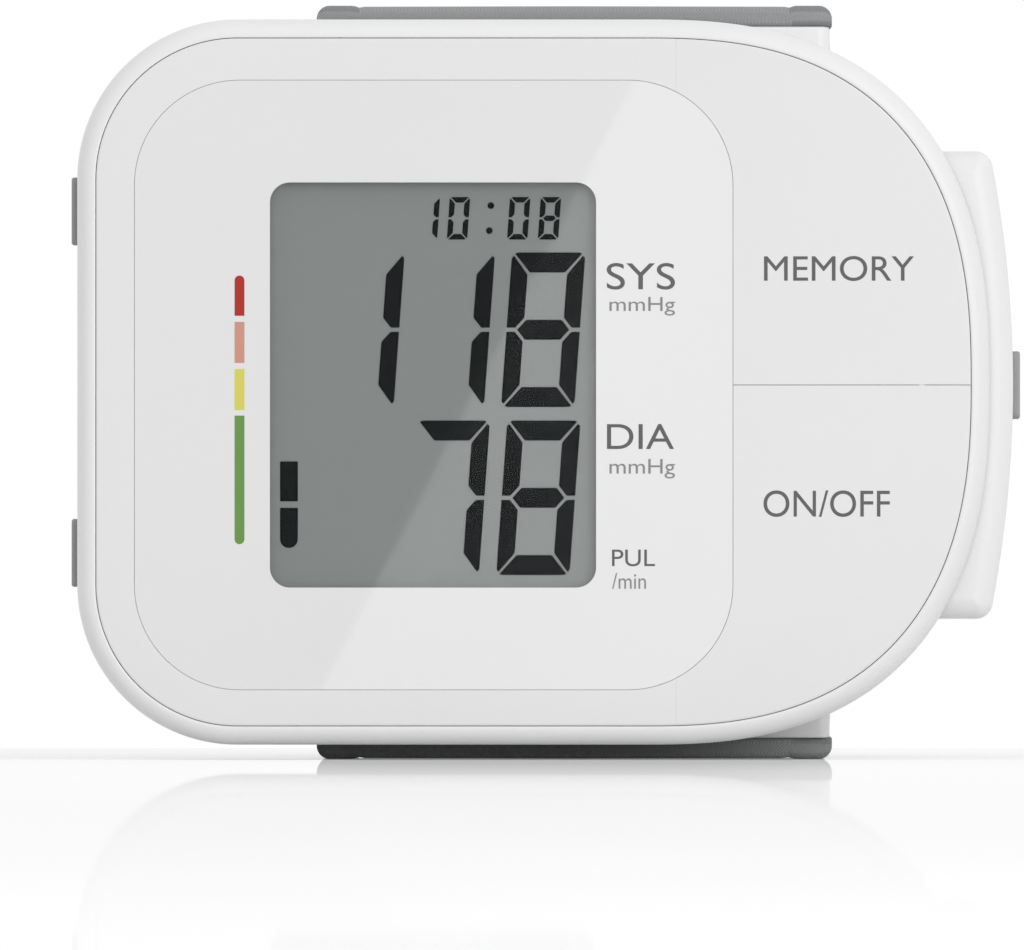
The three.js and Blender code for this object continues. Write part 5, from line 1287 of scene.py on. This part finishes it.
def makeLining(given, cuff):
    # a channel: the sheet next to the skin, and lips along both sides that close the edges of the cuff
    at, there, _ = stations(loopLine(360 - given["slit"], given["slit"]), given["step"])
    low, thick, lip, lipLow, radius = pick(given, "low thick lip lipLow corner")
    left, right = pick(cuff, "left right")
    under, inner = np.linspace(left + radius, right - radius, 70), np.linspace(right - lip, left + lip, 40)
    corner = arc(right - radius, low + radius, radius, 270, 360, 6)[1:]
    other = arc(left + radius, low + radius, radius, 180, 270, 6)[:-1]
    x = np.concatenate([under, corner[:, 0], [right, right - lip], inner, [left + lip, left], other[:, 0]])
    h = np.concatenate([[low] * 70, corner[:, 1], [lipLow] * 2, [low + thick] * 40, [lipLow] * 2,
                        other[:, 1]])
    h[:70] += seamRelief(cuffHalf - cuff["binding"] - np.abs(under - cuffMiddle), cuff, given)
    lining = dress(carry("cuffLining", at, there, x, h), "liningNylon", "lining_fabric", "cuff_lining")
    bindEdges(lining, cuff)
    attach(lining, "housing")
    return at, there


def makeBladder(given, cuff, loop, at, there):
    # a flat bag with round side folds inside the cuff, and the tube that lets the air in
    low, high, inner, bore, outer, start, edge = pick(given, "low high inner bore outer from edge")
    r, middle = (high - low) / 2, (high + low) / 2
    a, b = cuff["left"] + inner + r, cuff["right"] - inner - r
    rightFold, leftFold = arc(b, middle, r, -90, 90, 8), arc(a, middle, r, 90, 270, 8)
    top = [(x, high) for x in np.linspace(b, a, 40)[1:-1]]
    bottom = [(x, low) for x in np.linspace(a, b, 40)[1:-1]]
    x, h = np.concatenate([rightFold, top, leftFold, bottom]).T
    bag = carry("cuffBladder", at, there, x, h)
    settle(bag, "housing", "bladderFilm", "bladder_film", "cuff_bladder")
    x, z = given["inlet"]
    end = loop["y"] - given["end"]
    profile = [(bore, 0), (outer - edge, 0), (outer, edge), (outer, end - start), (bore, end - start)]
    tube = turned("bladderInlet", (x, start, z), (x, end, z), profile)
    combine(tube, posts(bore + given["boreGap"], [(x, z)], start - spare, end + spare))
    settle(tube, "housing", "bladderFilm", "bladder_film")


def makeHooks(given):
    # a thin backing under the flap, and rows of small bent hooks that reach for the lower cover
    at, there, _ = stations(loopLine(given["from"], given["to"]), given["step"])
    low, high, (first, last), sides, pitch = pick(given, "base high border sides pitch")
    half = cuffHalf - given["margin"]
    x, h = roundedRect(cuffMiddle, (low + high) / 2, half, (high - low) / 2, given["corner"], 5, 12)(0).T
    backing = carry("hookBacking", at, there, x, h)
    settle(backing, "cuff_flap", "hookTape", "hook_tape", "hook_patch")
    bend, radius = np.array(given["bend"]), given["radius"] * np.array(given["taper"])[:, None]
    t = line(0, 2 * np.pi, sides)
    direction = unit(np.gradient(bend, axis=0))
    across = radius * np.cos(t)
    hook = np.stack([bend[:, 0:1] + across * direction[:, 1:2], bend[:, 1:2] - across * direction[:, 0:1],
                     radius * np.sin(t)], axis=2)
    s, x = np.meshgrid(np.arange(at[0] + first, at[-1] - last, pitch),
                       np.arange(cuffMiddle - half + first, cuffMiddle + half - last, pitch), indexing="ij")
    faces = [gridQuads(len(bend), sides)[0]] + endFaces(len(bend), sides)
    lift = low + given["lift"]
    hooks = scatter("hooks", hook.reshape(-1, 3), faces, s.ravel(), x.ravel(), lift, at, there)
    settle(hooks, "cuff_flap", "hookPlastic", "hook_tape")


makeCovers(cuffValues, stitchValues, puffValues)
liningAt, liningThere = makeLining(liningValues, cuffValues)
makeBladder(bladderValues, cuffValues, loopValues, liningAt, liningThere)
makeHooks(hookValues)
print("cuff made")


# The other CAD pieces keep their shapes and get finishes by the record's slots

cadFinishes = {"white_shell": "shellWhite", "face_white": "faceWhite", "lens_white": "lensWhite",
               "clear_window": "windowClear", "display_grey": "displayGrey", "black_plastic": "mattBlack",
               "elastomer": "mattBlack", "soft_grey": "softGrey", "board_green": "boardGreen",
               "cream_plastic": "creamPlastic", "steel": "nickelSteel", "hose_clear": "hoseSilicone",
               "cell_jacket": "cellJacket", "cuff_fabric": "cuffNylon", "lining_fabric": "liningNylon",
               "hook_tape": "hookTape", "bladder_film": "bladderFilm"}
for part in frame["record"]["subparts"]:
    node = frame["nodes"][part["node"]]
    if not node.hide_render:
        node.data.materials.clear()
        node.data.materials.append(finishes[cadFinishes[part["material_slot"]]])
print("CAD pieces finished")
